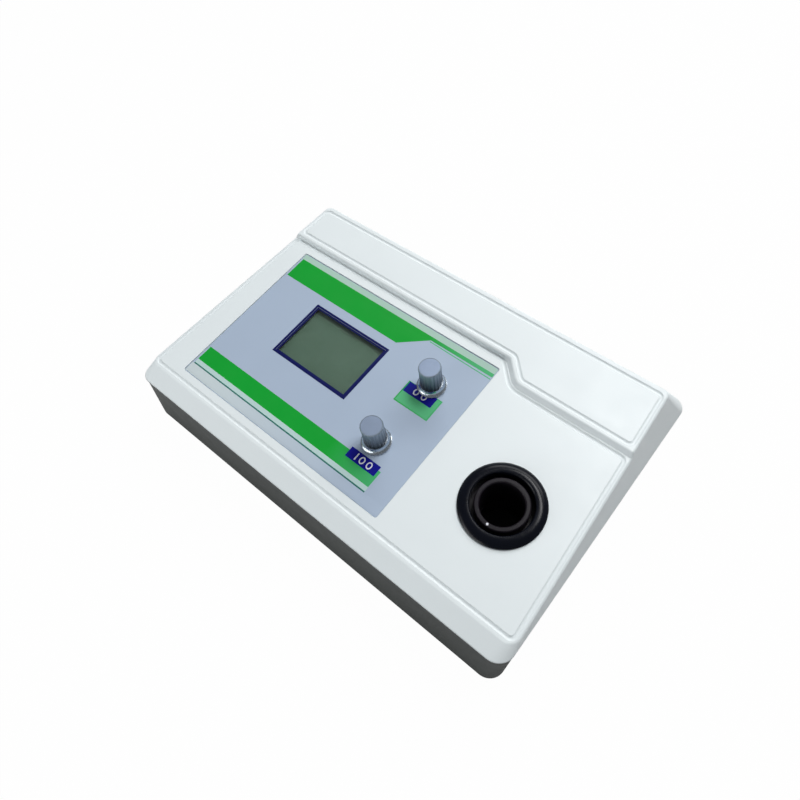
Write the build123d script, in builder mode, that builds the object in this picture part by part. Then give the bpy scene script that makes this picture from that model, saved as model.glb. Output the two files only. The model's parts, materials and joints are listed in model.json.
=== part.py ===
"""Benchtop turbidity meter with a sample well, a display and two adjusting knobs.

Millimetres. X runs to the right of someone who faces the front, Y to the rear, Z up.
The origin is on the table, under the middle of the housing.
"""
from build123d import *

import os
from math import cos, hypot, radians, sin, tan

# Housing
WIDTH = 290.0               # at the parting line
DEPTH = 210.0               # at the parting line
PARTING_HEIGHT = 42.0       # table to parting line
SLOPE = 10.0                # degrees, of the front area and the deck
FRONT_RISE = 5.14           # front wall of the upper housing, parting line to rim
FRONT_RUN = 10.5            # the same wall, back from the parting line to the rim
REAR_RUN = 33.5             # rear wall, forward from the parting line to the rim of the deck
DECK_RISE = 2.8             # deck above the front area, square to them
SIDE_DRAFT = 15.0           # degrees from upright, upper housing
WALL = 2.5
RIB_X = (-100.0, -20.0, 40.0, 110.0)
RIB_SETBACK = 3.5           # edge of the step to the front of the ribs
RIB_LENGTH = 30.0
RIB_END = 14.0              # side of the housing to the end of the long rib
RIB_THICKNESS = 1.6
RIB_CLEARANCE = 24.0        # parting line to the lower edge of the ribs
FRONT_CORNER = 10.0         # plan corner radii at the parting line
REAR_CORNER = 10.5
FRONT_TOP_CORNER = 4.0      # plan corner radii in the plane of the deck
REAR_TOP_CORNER = 4.5
LEAST_CORNER = 0.6          # on the inside, where the wall leaves no more
RIM_ROUND = 1.5

# Step between the deck and the front area, with its jog beside the panel
DECK_EDGE_LEFT = 40.5
DECK_EDGE_RIGHT = 28.0
JOG_X = 47.8
JOG_ANGLE = 45.0
JOG_INNER_ROUND = 3.4
JOG_OUTER_ROUND = 8.9
STEP_RUN = 2.4

# Moulded line round both areas
GROOVE_REAR_INSET = 4.0
GROOVE_SIDE_INSET = 2.8
GROOVE_FRONT_INSET = 3.2
GROOVE_STEP_INSET = 3.3     # behind the edge of the step
GROOVE_WIDTH = 2.6
GROOVE_DEPTH = 0.6
GROOVE_CORNER = 3.0
FOOT_GROOVE = 4.4           # in front of the edge of the step, on the right and along the jog
FOOT_GROOVE_LEFT = 2.3      # the same beside the panel, where it meets the foot of the step

# Panel overlay in its recess
PANEL_SIDE_MARGIN = 25.2    # side of the housing at the parting line to the panel
PANEL_JOG_MARGIN = 1.8      # panel to the jog
PANEL_FRONT_MARGIN = 9.5    # front rim to the panel
PANEL_STEP_MARGIN = 9.2     # panel to the edge of the step
RECESS_DEPTH = 1.0
RECESS_GAP = 0.3
RECESS_CORNER = 1.5
OVERLAY_THICKNESS = 0.5

# Display
DISPLAY_X = -50.4
DISPLAY_FRONT = 76.86       # front rim to the middle of the display
VIEW_WIDTH = 60.3
VIEW_HEIGHT = 41.3
VIEW_LEDGE = 1.6            # overlay past the view, over the window
WINDOW_GAP = 0.2
GLASS_DEPTH = 4.2           # front area down to the glass of the display
GLASS_THICKNESS = 2.4
GLASS_MARGIN = 2.6
FRAME_WALL = 3.0
DISPLAY_BOARD_DEPTH = 9.0
DISPLAY_BOARD_WIDTH = 88.0
DISPLAY_BOARD_HEIGHT = 62.0
DISPLAY_POST_INSET = 4.0
DISPLAY_POST_RADIUS = 3.0
DISPLAY_SCREW_RADIUS = 1.25
DISPLAY_SCREW_GRIP = 5.0
DISPLAY_HEAD_RADIUS = 2.3
DISPLAY_HEAD_HEIGHT = 1.6
DISPLAY_HEADER_S = 24.0
HEADER_DEPTH = 6.0
HEADER_HEIGHT = 8.0
HEADER_END = 2.0            # header past each side of the ribbon
RIBBON_WIDTH = 24.0
RIBBON_THICKNESS = 0.9
RIBBON_BEND = 2.5
BOARD_THICKNESS = 1.6
BOARD_CORNER = 2.0

# Adjusting knobs and their potentiometers
ZERO_X = 19.3
ZERO_FRONT = 94.36          # front rim to the middle of the knob
CAL_X = 16.2
CAL_FRONT = 45.36
KNOB_HEIGHT = 20.8          # front area to the top of the knob
KNOB_LIFT = 0.3
SKIRT_RADIUS = 9.3
SKIRT_HEIGHT = 4.2
SKIRT_EDGE = 0.7
SKIRT_NECK = 0.45           # top of the ring past the knob
SKIRT_HOLLOW = 0.6          # depth of the curve of the flare
KNOB_RADIUS = 6.9
KNOB_TOP_RADIUS = 6.5
KNOB_CHAMFER_HEIGHT = 0.8
FLUTES = 20
FLUTE_RADIUS = 1.0
FLUTE_DEPTH = 0.3
FLUTE_LIFT = 0.4            # ring to the start of the flutes
CAP_THICKNESS = 0.6
CAP_RADIUS = 6.2
CAP_CHAMFER = 0.15
SHAFT_RADIUS = 3.0
SHAFT_TOP = 16.0
SHAFT_BOTTOM = -9.0
RUNNING_FIT = 0.05
BUSH_RADIUS = 3.5
BUSH_TOP = 4.0
NUT_ACROSS_FLATS = 10.0
NUT_THICKNESS = 2.0
NUT_CLEARANCE = 1.2         # flats of the nut to what goes round it
POT_RADIUS = 8.5
POT_THICKNESS = 9.0
POT_TAG_PITCH = 5.0
POT_TAG_WIDTH = 1.5
POT_TAG_LENGTH = 5.0
POT_TAG_THICKNESS = 0.8

# Sample well
WELL_SIDE_MARGIN = 48.2     # middle of the well to the side of the housing at the parting line
WELL_FRONT = 57.16          # front rim to the middle of the well
FLANGE_RADIUS = 24.7
FLANGE_EDGE = 1.0
LIP_RADIUS = 18.0
LIP_HEIGHT = 3.3
LIP_CHAMFER = 0.5
FLANGE_CROWN = 0.86         # rise of the curve from the lip to the edge
SPIGOT_RADIUS = 21.0
SPIGOT_DEPTH = 8.0
RING_NUT_RADIUS = 25.5
RING_NUT_THICKNESS = 4.0
RING_NUT_NOTCHES = 4
RING_NUT_NOTCH = 4.0
CELL_BORE_RADIUS = 12.6
HOLDER_RADIUS = 15.6
HOLDER_TOP = 1.6
HOLDER_DEPTH = 46.0
HOLDER_FLOOR = 2.0
HOLDER_CHAMFER = 0.6
COLLAR_RADIUS = 20.4
BEAM_DEPTH = 25.0
BEAM_RADIUS = 4.0

# Optical block round the cell holder
BLOCK_SIZE = 54.0
BLOCK_TOP = -12.0
BLOCK_BOTTOM = -38.0
BLOCK_CORNER = 3.0
BLOCK_POST_PITCH = 44.0
BLOCK_POST_RADIUS = 4.0
BLOCK_SCREW_RADIUS = 1.5
BLOCK_SCREW_GRIP = 6.0
BLOCK_SCREW_LEDGE = 8.0     # block between the head and the post
LAMP_BORE_RADIUS = 6.0
LENS_GAP = 1.2              # cell holder to the lens
LENS_THICKNESS = 2.0
LAMP_HOLDER_LENGTH = 14.0
LAMP_FLANGE_WIDTH = 4.0
LAMP_FLANGE_THICKNESS = 2.0
LAMP_RADIUS = 3.2
LAMP_STEM_RADIUS = 2.2
LAMP_GAP = 1.0              # lamp to the lens and to its holder
LAMP_SEAT = 4.0             # side of the block to the rear of the bulb
LAMP_CHAMFER = 1.2
DETECTOR_RADIUS = 4.6
DETECTOR_THICKNESS = 5.0
DETECTOR_BOARD_WIDTH = 24.0
DETECTOR_BOARD_HEIGHT = 20.0
DETECTOR_SCREW_PITCH = 18.0
DETECTOR_SCREW_RADIUS = 1.0
DETECTOR_SCREW_GRIP = 4.0
DETECTOR_HEAD_RADIUS = 1.9
DETECTOR_HEAD_HEIGHT = 1.3
LOOSE_GAP = 0.3
THREAD_GAP = 0.05
HOLE_SPARE = 0.5            # hole past the end of what goes into it

# Lower housing
LOWER_INSET = 0.5
LOWER_DRAFT = 0.9
LOWER_ROUND = 2.5
LOWER_INNER_ROUND = 0.8
FOOT_HEIGHT = 3.0
FOOT_RADIUS = 8.0
FOOT_PLUG_RADIUS = 3.0
FOOT_CHAMFER = 0.7
FOOT_PLUG_END = 1.5         # past the inside of the floor
FOOT_SIDE_INSET = 27.0      # parting line to the middle of a foot
FOOT_END_INSET = 23.0
TAB_WIDTH = 14.0
TAB_THICKNESS = 2.2
TAB_HEIGHT = 2.5
TAB_DROP = 14.0
TAB_GAP = 0.8               # inside of the lower wall to the face of a tab
TAB_ROOT = 0.6
TAB_Y = (-50.0, 30.0)
VENTS = 5
VENT_PITCH = 6.0
VENT_LENGTH = 26.0
VENT_WIDTH = 2.5
CASE_SCREW_SIDE_INSET = 21.0
CASE_SCREW_FRONT_INSET = 35.0
CASE_SCREW_REAR_INSET = 47.0
CASE_BOSS_RADIUS = 5.0
CASE_SCREW_RADIUS = 1.5
CASE_HOLE_RADIUS = 1.8
CASE_HEAD_RADIUS = 2.8
CASE_HEAD_HEIGHT = 2.0
CASE_SEAT_HEIGHT = 24.0
CASE_LEDGE = 3.0
CASE_SCREW_GRIP = 9.0
DRIVE_LENGTH = 3.0
DRIVE_WIDTH = 0.8
DRIVE_DEPTH = 1.2

# Connector bay in the rear wall
BAY_SIDE_INSET = 29.0
BAY_WIDTH = 86.0
BAY_BOTTOM = 7.6
BAY_HEIGHT = 32.0
BAY_DEPTH = 7.0             # from the parting line
BAY_WALL = 1.8
INLET_INSET = 24.0          # side of the bay to the middle of the inlet
INLET_FLANGE_WIDTH = 31.0
INLET_FLANGE_HEIGHT = 30.0
INLET_FLANGE_THICKNESS = 2.5
INLET_BODY_WIDTH = 27.0
INLET_BODY_HEIGHT = 27.6
INLET_BODY_DEPTH = 22.0
INLET_CORNER = 2.0
PLUG_WIDTH = 24.2
PLUG_HEIGHT = 16.4
PLUG_DEPTH = 16.0
PLUG_CHAMFER = 5.0
PLUG_Z = 4.3                # middle of the plug space above the middle of the inlet
PIN_PITCH = 7.0
PIN_WIDTH = 2.0
PIN_HEIGHT = 4.0
PIN_OFFSET = 2.0
PIN_SETBACK = 1.0
PIN_CHAMFER = 0.4
DRAWER_WIDTH = 23.4
DRAWER_HEIGHT = 7.0
DRAWER_Z = -8.9
DRAWER_DEPTH = 20.0
DRAWER_GAP = 0.3
DRAWER_BACK = 2.0           # inlet behind the drawer
DRAWER_ROUND = 0.5
DRAWER_GRIP_WIDTH = 8.0
DRAWER_GRIP_HEIGHT = 2.4
FUSE_RADIUS = 2.6
FUSE_GLASS_RADIUS = 2.3
FUSE_LENGTH = 20.0
FUSE_CAP = 5.0
FUSE_BACK = 8.0             # front of the inlet to the middle of the fuse
DRAWER_LIP = 1.5
DRAWER_FLOOR = 1.2
PIN_TAIL = 6.0
SWITCH_INSET = 16.0         # side of the bay to the middle of the switch
SWITCH_FLANGE_WIDTH = 15.0
SWITCH_FLANGE_HEIGHT = 22.6
SWITCH_FLANGE_THICKNESS = 1.8
SWITCH_BODY_WIDTH = 13.0
SWITCH_BODY_HEIGHT = 20.8
SWITCH_BODY_DEPTH = 14.0
SWITCH_CORNER = 1.5
ROCKER_WIDTH = 10.0
ROCKER_LENGTH = 16.6
ROCKER_GAP = 0.2
ROCKER_TILT = 12.0
ROCKER_PIVOT_RADIUS = 1.2
ROCKER_SETBACK = 1.0        # floor of the bay to the pivot
ROCKER_BACK = 2.0
ROCKER_KEEL = 2.0
ROCKER_TAPER = 1.5
ROCKER_ROUND = 0.5
ROCKER_END = 4.5
ROCKER_MIDDLE = 3.0
PIVOT_REACH = 0.9
SWITCH_WELL_DEPTH = 10.0
SWITCH_WELL_HEIGHT = 19.2
SWITCH_TAG_PITCH = 6.5
SWITCH_TAG_WIDTH = 4.8
SWITCH_TAG_LENGTH = 8.0
SWITCH_TAG_THICKNESS = 0.8

# Main board
BOARD_X = -62.0
BOARD_Y = -12.0
BOARD_WIDTH = 104.0
BOARD_DEPTH = 96.0
STANDOFF_HEIGHT = 6.0
STANDOFF_RADIUS = 3.5
BOARD_SCREW_INSET = 5.0
BOARD_SCREW_RADIUS = 1.5
BOARD_HEAD_RADIUS = 2.8
BOARD_HEAD_HEIGHT = 1.8
BOARD_HEADER_Y = -20.0
BOARD_HEADER_INSET = 6.0
BOARD_HEADER_LENGTH = 14.0
BOARD_HEADER_SHIFT = 20.0
PROCESSOR_INSET = (22.0, 30.0)     # from the left and front edges of the board
PROCESSOR_SIZE = 14.0
PROCESSOR_THICKNESS = 2.0
CAPACITOR_INSETS = ((20.0, 14.0), (34.0, 14.0), (20.0, 28.0))     # from its right and rear edges
CAPACITOR_RADIUS = 5.0
CAPACITOR_HEIGHT = 16.0
CAPACITOR_CHAMFER = 0.7
REGULATOR_INSET = (34.0, 20.0)     # from its left and rear edges
REGULATOR_WIDTH = 10.0
REGULATOR_HEIGHT = 15.0
REGULATOR_THICKNESS = 4.5
HEAT_SINK_WIDTH = 26.0
HEAT_SINK_HEIGHT = 20.0
HEAT_SINK_DEPTH = 12.0
HEAT_SINK_BACK = 2.0
HEAT_SINK_FINS = 6
HEAT_SINK_FIN = 1.0
HEAT_SINK_PITCH = 5.0
LEAD_RADIUS = 1.0
LAMP_LEAD_RADIUS = 1.6
LEAD_RUN = 7.0              # straight run at each end
LEAD_BEND = 4.0

# Transformer
TRANSFORMER_X = 34.0
TRANSFORMER_Y = 62.0
CORE_WIDTH = 41.0
CORE_DEPTH = 20.0
CORE_HEIGHT = 34.0
CORE_LEG = 6.8
COIL_CORNER = 3.0
COIL_TAG_PITCH = 4.0
STRAP = 1.2
STRAP_EAR = 12.0
STRAP_PAD = 3.0
STRAP_MARGIN = 2.0          # core past each edge of the strap

SIN = sin(radians(SLOPE))
COS = cos(radians(SLOPE))
FRONT_RIM_Y = FRONT_RUN - DEPTH / 2
FRONT_PLANE_HEIGHT = PARTING_HEIGHT + FRONT_RISE - FRONT_RIM_Y * SIN / COS
FRONT = Plane(origin=(0, 0, FRONT_PLANE_HEIGHT), x_dir=(1, 0, 0), z_dir=(0, -SIN, COS))
NORMAL = Vector(0, -SIN, COS)
FLOOR = FOOT_HEIGHT + WALL
BASE = (Align.CENTER, Align.CENTER, Align.MIN)
DECK_REAR_Y = DEPTH / 2 - REAR_RUN
FRONT_RIM = FRONT_RIM_Y / COS
DECK_REAR = (DECK_REAR_Y + DECK_RISE * SIN) / COS
DECK_REAR_Z = FRONT_PLANE_HEIGHT + DECK_REAR * SIN + DECK_RISE * COS
FRONT_LEAN = FRONT_RUN / FRONT_RISE
REAR_LEAN = -REAR_RUN / (DECK_REAR_Z - PARTING_HEIGHT)
SIDE_LEAN = tan(radians(SIDE_DRAFT))
STEP_LEAN = STEP_RUN / DECK_RISE
RECESS = -RECESS_DEPTH
PANEL_LEFT = PANEL_SIDE_MARGIN - WIDTH / 2
PANEL_RIGHT = JOG_X - PANEL_JOG_MARGIN
PANEL_FRONT = FRONT_RIM + PANEL_FRONT_MARGIN
PANEL_REAR = DECK_EDGE_LEFT - PANEL_STEP_MARGIN
DISPLAY_S = FRONT_RIM + DISPLAY_FRONT
ZERO_S = FRONT_RIM + ZERO_FRONT
CAL_S = FRONT_RIM + CAL_FRONT
WELL_S = FRONT_RIM + WELL_FRONT
WINDOW_WIDTH = VIEW_WIDTH + 2 * VIEW_LEDGE
WINDOW_HEIGHT = VIEW_HEIGHT + 2 * VIEW_LEDGE
DISPLAY_POSTS = [
    (DISPLAY_X + i * (DISPLAY_BOARD_WIDTH / 2 - DISPLAY_POST_INSET),
     DISPLAY_S + j * (DISPLAY_BOARD_HEIGHT / 2 - DISPLAY_POST_INSET))
    for i in (-1, 1) for j in (-1, 1)
]
WELL_X = WIDTH / 2 - WELL_SIDE_MARGIN
BLOCK_POSTS = [(WELL_X + i * BLOCK_POST_PITCH / 2, WELL_S + j * BLOCK_POST_PITCH / 2)
               for i in (-1, 1) for j in (-1, 1)]
BOARD_LEFT = BOARD_X - BOARD_WIDTH / 2
BOARD_RIGHT = BOARD_X + BOARD_WIDTH / 2
BOARD_FRONT = BOARD_Y - BOARD_DEPTH / 2
BOARD_REAR = BOARD_Y + BOARD_DEPTH / 2
BOARD_POSTS = [(x, y) for x in (BOARD_LEFT + BOARD_SCREW_INSET, BOARD_RIGHT - BOARD_SCREW_INSET)
               for y in (BOARD_FRONT + BOARD_SCREW_INSET, BOARD_REAR - BOARD_SCREW_INSET)]
STRAP_POSTS = [(TRANSFORMER_X + i * (CORE_WIDTH / 2 + STRAP + STRAP_EAR / 2), TRANSFORMER_Y) for i in (-1, 1)]
BAY_LEFT = BAY_SIDE_INSET - WIDTH / 2
BAY_FLOOR_Y = DEPTH / 2 - BAY_DEPTH
BAY_MIDDLE = BAY_BOTTOM + BAY_HEIGHT / 2
INLET_X = BAY_LEFT + INLET_INSET
INLET_Z = BAY_MIDDLE
SWITCH_X = BAY_LEFT + BAY_WIDTH - SWITCH_INSET
SWITCH_Z = BAY_MIDDLE
ROCKER_Y = BAY_FLOOR_Y - ROCKER_SETBACK
PINS = [(INLET_X + i * PIN_PITCH, INLET_Z + PLUG_Z + (PIN_OFFSET if i == 0 else -PIN_OFFSET))
        for i in (-1, 0, 1)]
FUSE_Y = BAY_FLOOR_Y + INLET_FLANGE_THICKNESS - FUSE_BACK
FUSE_SEAT = INLET_Z + DRAWER_Z - DRAWER_HEIGHT / 2 + DRAWER_FLOOR
FEET = [(i * (WIDTH / 2 - FOOT_SIDE_INSET), j * (DEPTH / 2 - FOOT_END_INSET))
        for i in (-1, 1) for j in (-1, 1)]
CASE_SCREW_X = WIDTH / 2 - CASE_SCREW_SIDE_INSET
CASE_SCREW_FRONT = CASE_SCREW_FRONT_INSET - DEPTH / 2
CASE_SCREW_REAR = DEPTH / 2 - CASE_SCREW_REAR_INSET
CASE_SCREWS = [(x, y) for x in (-CASE_SCREW_X, CASE_SCREW_X) for y in (CASE_SCREW_FRONT, CASE_SCREW_REAR)]
TAB_FACE_X = WIDTH / 2 - LOWER_INSET - WALL - TAB_GAP

os.makedirs("parts", exist_ok=True)


def finish(builder, name):
    """Labels a finished piece and writes it."""
    builder.part.label = name
    export_step(builder.part, f"parts/{name}.step")


def on_slope(x, s, w=0.0):
    """Plane parallel to the front area, x along it, s up the slope and w above it."""
    return Plane(FRONT.location * Location((x, s, w)))


def along_slope(wall_y, lean, w):
    """Place along the slope where a leaning wall meets the plane w above the front area."""
    rise = FRONT_PLANE_HEIGHT + w * COS - PARTING_HEIGHT
    return (wall_y + lean * rise + w * SIN) / (COS - lean * SIN)


def half_width(s, w, inset):
    """Half the width of the upper housing at a place on the slope."""
    return WIDTH / 2 - inset - (FRONT_PLANE_HEIGHT + s * SIN + w * COS - PARTING_HEIGHT) * SIDE_LEAN


def four_sided(front_x, front_y, rear_x, rear_y, front_radius, rear_radius):
    """Outline with a front and a rear side and rounded corners."""
    with BuildSketch() as outline:
        Polygon((-front_x, front_y), (front_x, front_y), (rear_x, rear_y), (-rear_x, rear_y), align=None)
        fillet(outline.vertices().sort_by(Axis.Y)[:2], front_radius)
        fillet(outline.vertices().sort_by(Axis.Y)[-2:], rear_radius)
    return outline.sketch


def wedge(inset):
    """Upper housing without its step, each side moved inwards by the inset."""
    side = inset / cos(radians(SIDE_DRAFT))
    front_y = inset * hypot(1, FRONT_LEAN) - DEPTH / 2
    rear_y = DEPTH / 2 - inset * hypot(1, REAR_LEAN)
    w = DECK_RISE - inset
    front_s = along_slope(front_y, FRONT_LEAN, w)
    rear_s = along_slope(rear_y, REAR_LEAN, w)
    x = WIDTH / 2 - side
    low = four_sided(x, front_y, x, rear_y, FRONT_CORNER - inset, REAR_CORNER - inset)
    high = four_sided(half_width(front_s, w, side), front_s, half_width(rear_s, w, side), rear_s,
                      max(FRONT_TOP_CORNER - inset, LEAST_CORNER), max(REAR_TOP_CORNER - inset, LEAST_CORNER))
    with BuildPart() as body:
        with BuildSketch(Plane.XY.offset(PARTING_HEIGHT)):
            add(low)
        with BuildSketch(FRONT.offset(w)):
            add(high)
        loft(ruled=True)
    return body.part


def step_corners(shift):
    """The two corners of the line of the step, the line moved to the rear by shift."""
    x = JOG_X + shift * tan(radians(JOG_ANGLE / 2))
    run = (DECK_EDGE_LEFT - DECK_EDGE_RIGHT) / tan(radians(JOG_ANGLE))
    return (x, DECK_EDGE_LEFT + shift), (x + run, DECK_EDGE_RIGHT + shift)


def in_front_of_step(shift):
    """Outline of everything in front of the line of the step."""
    left, right = step_corners(shift)
    far = WIDTH
    with BuildSketch() as outline:
        Polygon((-far, -far), (far, -far), (far, right[1]), right, left, (-far, left[1]), align=None)
        fillet(outline.vertices().sort_by_distance(left)[0], JOG_INNER_ROUND + shift)
        fillet(outline.vertices().sort_by_distance(right)[0], JOG_OUTER_ROUND - shift)
    return outline.sketch


def space_before_step(shift, bottom, top):
    """Space over the front area, its rear side leaning like the face of the step."""
    low = in_front_of_step(shift + (bottom - DECK_RISE) * STEP_LEAN)
    high = in_front_of_step(shift + (top - DECK_RISE) * STEP_LEAN)
    with BuildPart() as space:
        with BuildSketch(FRONT.offset(bottom)):
            add(low)
        with BuildSketch(FRONT.offset(top)):
            add(high)
        loft(ruled=True)
    return space.part


panel_x = (PANEL_LEFT + PANEL_RIGHT) / 2
panel_s = (PANEL_FRONT + PANEL_REAR) / 2
outer = wedge(0)
space = space_before_step(0, 0, 2 * DECK_RISE)
inner = wedge(WALL)
inner_space = space_before_step(WALL * hypot(1, STEP_LEAN), -WALL, DECK_RISE)

with BuildPart() as cavity:
    add(inner)
    add(inner_space, mode=Mode.SUBTRACT)

# Groove cutters: a round bar swept along the line of each groove
BAR_RADIUS = (GROOVE_WIDTH ** 2 / 4 + GROOVE_DEPTH ** 2) / (2 * GROOVE_DEPTH)
BAR_LIFT = BAR_RADIUS - GROOVE_DEPTH


def groove_bar(corners, rounds, w):
    """Round bar along the rounded line through the corners, low enough to cut the groove to its depth."""
    with BuildSketch(FRONT.offset(w + BAR_LIFT)) as loop:
        Polygon(*corners, align=None)
        for corner, radius in zip(corners, rounds):
            fillet(loop.vertices().sort_by_distance(corner)[0], radius)
    start = on_slope(0, corners[0][1], w + BAR_LIFT).origin
    with BuildPart() as bar:
        with BuildSketch(Plane(start, x_dir=NORMAL, z_dir=(1, 0, 0))):
            Circle(BAR_RADIUS)
        sweep(path=loop.sketch.face().outer_wire())
    return bar.part


deck_rear = DECK_REAR - GROOVE_REAR_INSET
deck_jog = step_corners(GROOVE_STEP_INSET)
deck_corners = [
    (-half_width(deck_rear, DECK_RISE, GROOVE_SIDE_INSET), deck_rear),
    (-half_width(deck_jog[0][1], DECK_RISE, GROOVE_SIDE_INSET), deck_jog[0][1]),
    *deck_jog,
    (half_width(deck_jog[1][1], DECK_RISE, GROOVE_SIDE_INSET), deck_jog[1][1]),
    (half_width(deck_rear, DECK_RISE, GROOVE_SIDE_INSET), deck_rear),
]
deck_rounds = [GROOVE_CORNER, GROOVE_CORNER, JOG_INNER_ROUND + GROOVE_STEP_INSET,
               JOG_OUTER_ROUND - GROOVE_STEP_INSET, GROOVE_CORNER, GROOVE_CORNER]
deck_bar = groove_bar(deck_corners, deck_rounds, DECK_RISE)

# Below the step the groove runs closer to it on the left, beside the panel
foot_left = DECK_EDGE_LEFT - FOOT_GROOVE_LEFT
foot_right = DECK_EDGE_RIGHT - FOOT_GROOVE
foot_jog = step_corners(-FOOT_GROOVE)
foot_jog = ((foot_jog[0][0] + foot_jog[0][1] - foot_left, foot_left), foot_jog[1])
groove_front = FRONT_RIM + GROOVE_FRONT_INSET
front_corners = [
    (-half_width(groove_front, 0, GROOVE_SIDE_INSET), groove_front),
    (half_width(groove_front, 0, GROOVE_SIDE_INSET), groove_front),
    (half_width(foot_right, 0, GROOVE_SIDE_INSET), foot_right),
    foot_jog[1],
    foot_jog[0],
    (-half_width(foot_left, 0, GROOVE_SIDE_INSET), foot_left),
]
front_rounds = [GROOVE_CORNER, GROOVE_CORNER, GROOVE_CORNER, JOG_OUTER_ROUND + FOOT_GROOVE, JOG_INNER_ROUND,
                GROOVE_CORNER]
front_bar = groove_bar(front_corners, front_rounds, 0)

rib_front = DECK_EDGE_LEFT + RIB_SETBACK
rib_base = PARTING_HEIGHT + RIB_CLEARANCE

with BuildPart() as ribs:
    for x in RIB_X:
        with Locations((x, rib_front, rib_base)):
            Box(RIB_THICKNESS, RIB_LENGTH, DECK_REAR_Z, align=(Align.CENTER, Align.MIN, Align.MIN))
    with Locations((0, rib_front + RIB_LENGTH / 2, rib_base)):
        Box(WIDTH - 2 * RIB_END, RIB_THICKNESS, DECK_REAR_Z, align=BASE)
    add(wedge(WALL / 2), mode=Mode.INTERSECT)

with BuildPart() as upper_housing:
    add(outer)
    add(space, mode=Mode.SUBTRACT)
    tops = upper_housing.faces().filter_by(lambda f: f.normal_at().dot(NORMAL) > 0.999).sort_by(SortBy.AREA)
    deck, front_area = tops[-2], tops[-1]
    rim = deck.edges()
    rim += front_area.edges().filter_by(lambda e: FRONT.to_local_coords(e.center()).Y < DECK_EDGE_RIGHT / 2)
    step_end = half_width(DECK_EDGE_LEFT, DECK_RISE, GROOVE_SIDE_INSET)
    rim += upper_housing.edges().filter_by(
        lambda e: abs(FRONT.to_local_coords(e.center()).Z - DECK_RISE / 2) < DECK_RISE / 8
        and abs(e.center().X) > step_end)
    fillet(rim, RIM_ROUND)
    add(cavity.part, mode=Mode.SUBTRACT)
    add(ribs.part)
    # Openings of the display, the knobs and the well
    with BuildSketch(FRONT.offset(-2 * WALL)):
        with Locations((DISPLAY_X, DISPLAY_S)):
            Rectangle(WINDOW_WIDTH + 2 * WINDOW_GAP, WINDOW_HEIGHT + 2 * WINDOW_GAP)
        with Locations((ZERO_X, ZERO_S), (CAL_X, CAL_S)):
            Circle(BUSH_RADIUS + LOOSE_GAP)
        with Locations((WELL_X, WELL_S)):
            Circle(SPIGOT_RADIUS + LOOSE_GAP)
    extrude(amount=3 * WALL, mode=Mode.SUBTRACT)
    # Posts of the display board
    with BuildSketch(FRONT.offset(-DISPLAY_BOARD_DEPTH)):
        with Locations(*DISPLAY_POSTS):
            Circle(DISPLAY_POST_RADIUS)
    extrude(amount=DISPLAY_BOARD_DEPTH - WALL / 2)
    with BuildSketch(FRONT.offset(-DISPLAY_BOARD_DEPTH)):
        with Locations(*DISPLAY_POSTS):
            Circle(DISPLAY_SCREW_RADIUS + THREAD_GAP)
    extrude(amount=DISPLAY_SCREW_GRIP + HOLE_SPARE, mode=Mode.SUBTRACT)
    # Posts of the optical block
    with BuildSketch(FRONT.offset(BLOCK_TOP)):
        with Locations(*BLOCK_POSTS):
            Circle(BLOCK_POST_RADIUS)
    extrude(amount=-BLOCK_TOP - WALL / 2)
    with BuildSketch(FRONT.offset(BLOCK_TOP)):
        with Locations(*BLOCK_POSTS):
            Circle(BLOCK_SCREW_RADIUS + THREAD_GAP)
    extrude(amount=BLOCK_SCREW_GRIP + HOLE_SPARE, mode=Mode.SUBTRACT)
    # Bosses of the housing screws
    for y, w in ((CASE_SCREW_FRONT, 0), (CASE_SCREW_REAR, DECK_RISE)):
        top = FRONT_PLANE_HEIGHT + ((y + w * SIN) / COS) * SIN + w * COS
        with Locations((-CASE_SCREW_X, y, CASE_SEAT_HEIGHT), (CASE_SCREW_X, y, CASE_SEAT_HEIGHT)):
            Cylinder(CASE_BOSS_RADIUS, top - CASE_SEAT_HEIGHT - WALL / 2, align=BASE)
            Cylinder(CASE_SCREW_RADIUS + THREAD_GAP, CASE_SCREW_GRIP + HOLE_SPARE, align=BASE,
                     mode=Mode.SUBTRACT)
    # Recess of the panel
    with BuildSketch(FRONT.offset(RECESS)):
        with Locations((panel_x, panel_s)):
            RectangleRounded(PANEL_RIGHT - PANEL_LEFT + 2 * RECESS_GAP,
                             PANEL_REAR - PANEL_FRONT + 2 * RECESS_GAP, RECESS_CORNER)
    extrude(amount=2 * RECESS_DEPTH, mode=Mode.SUBTRACT)
    # Grooves
    add(deck_bar, mode=Mode.SUBTRACT)
    add(front_bar, mode=Mode.SUBTRACT)


def tray(inset, bottom, bottom_round):
    """Solid of the lower housing down to a height, each side moved inwards by the inset."""
    half_x = WIDTH / 2 - LOWER_INSET - inset
    half_y = DEPTH / 2 - LOWER_INSET - inset
    outline = four_sided(half_x, -half_y, half_x, half_y, FRONT_CORNER - inset, REAR_CORNER - inset)
    with BuildPart() as body:
        with BuildSketch(Plane.XY.offset(PARTING_HEIGHT)):
            add(outline)
        extrude(amount=bottom - PARTING_HEIGHT, taper=LOWER_DRAFT)
        fillet(body.faces().sort_by(Axis.Z)[0].edges(), bottom_round)
    return body.part


outer_tray = tray(0, FOOT_HEIGHT, LOWER_ROUND)
inner_tray = tray(WALL, FLOOR, LOWER_INNER_ROUND)
bay_x = BAY_LEFT + BAY_WIDTH / 2
rear_inside = DEPTH / 2 - LOWER_INSET - WALL

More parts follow.
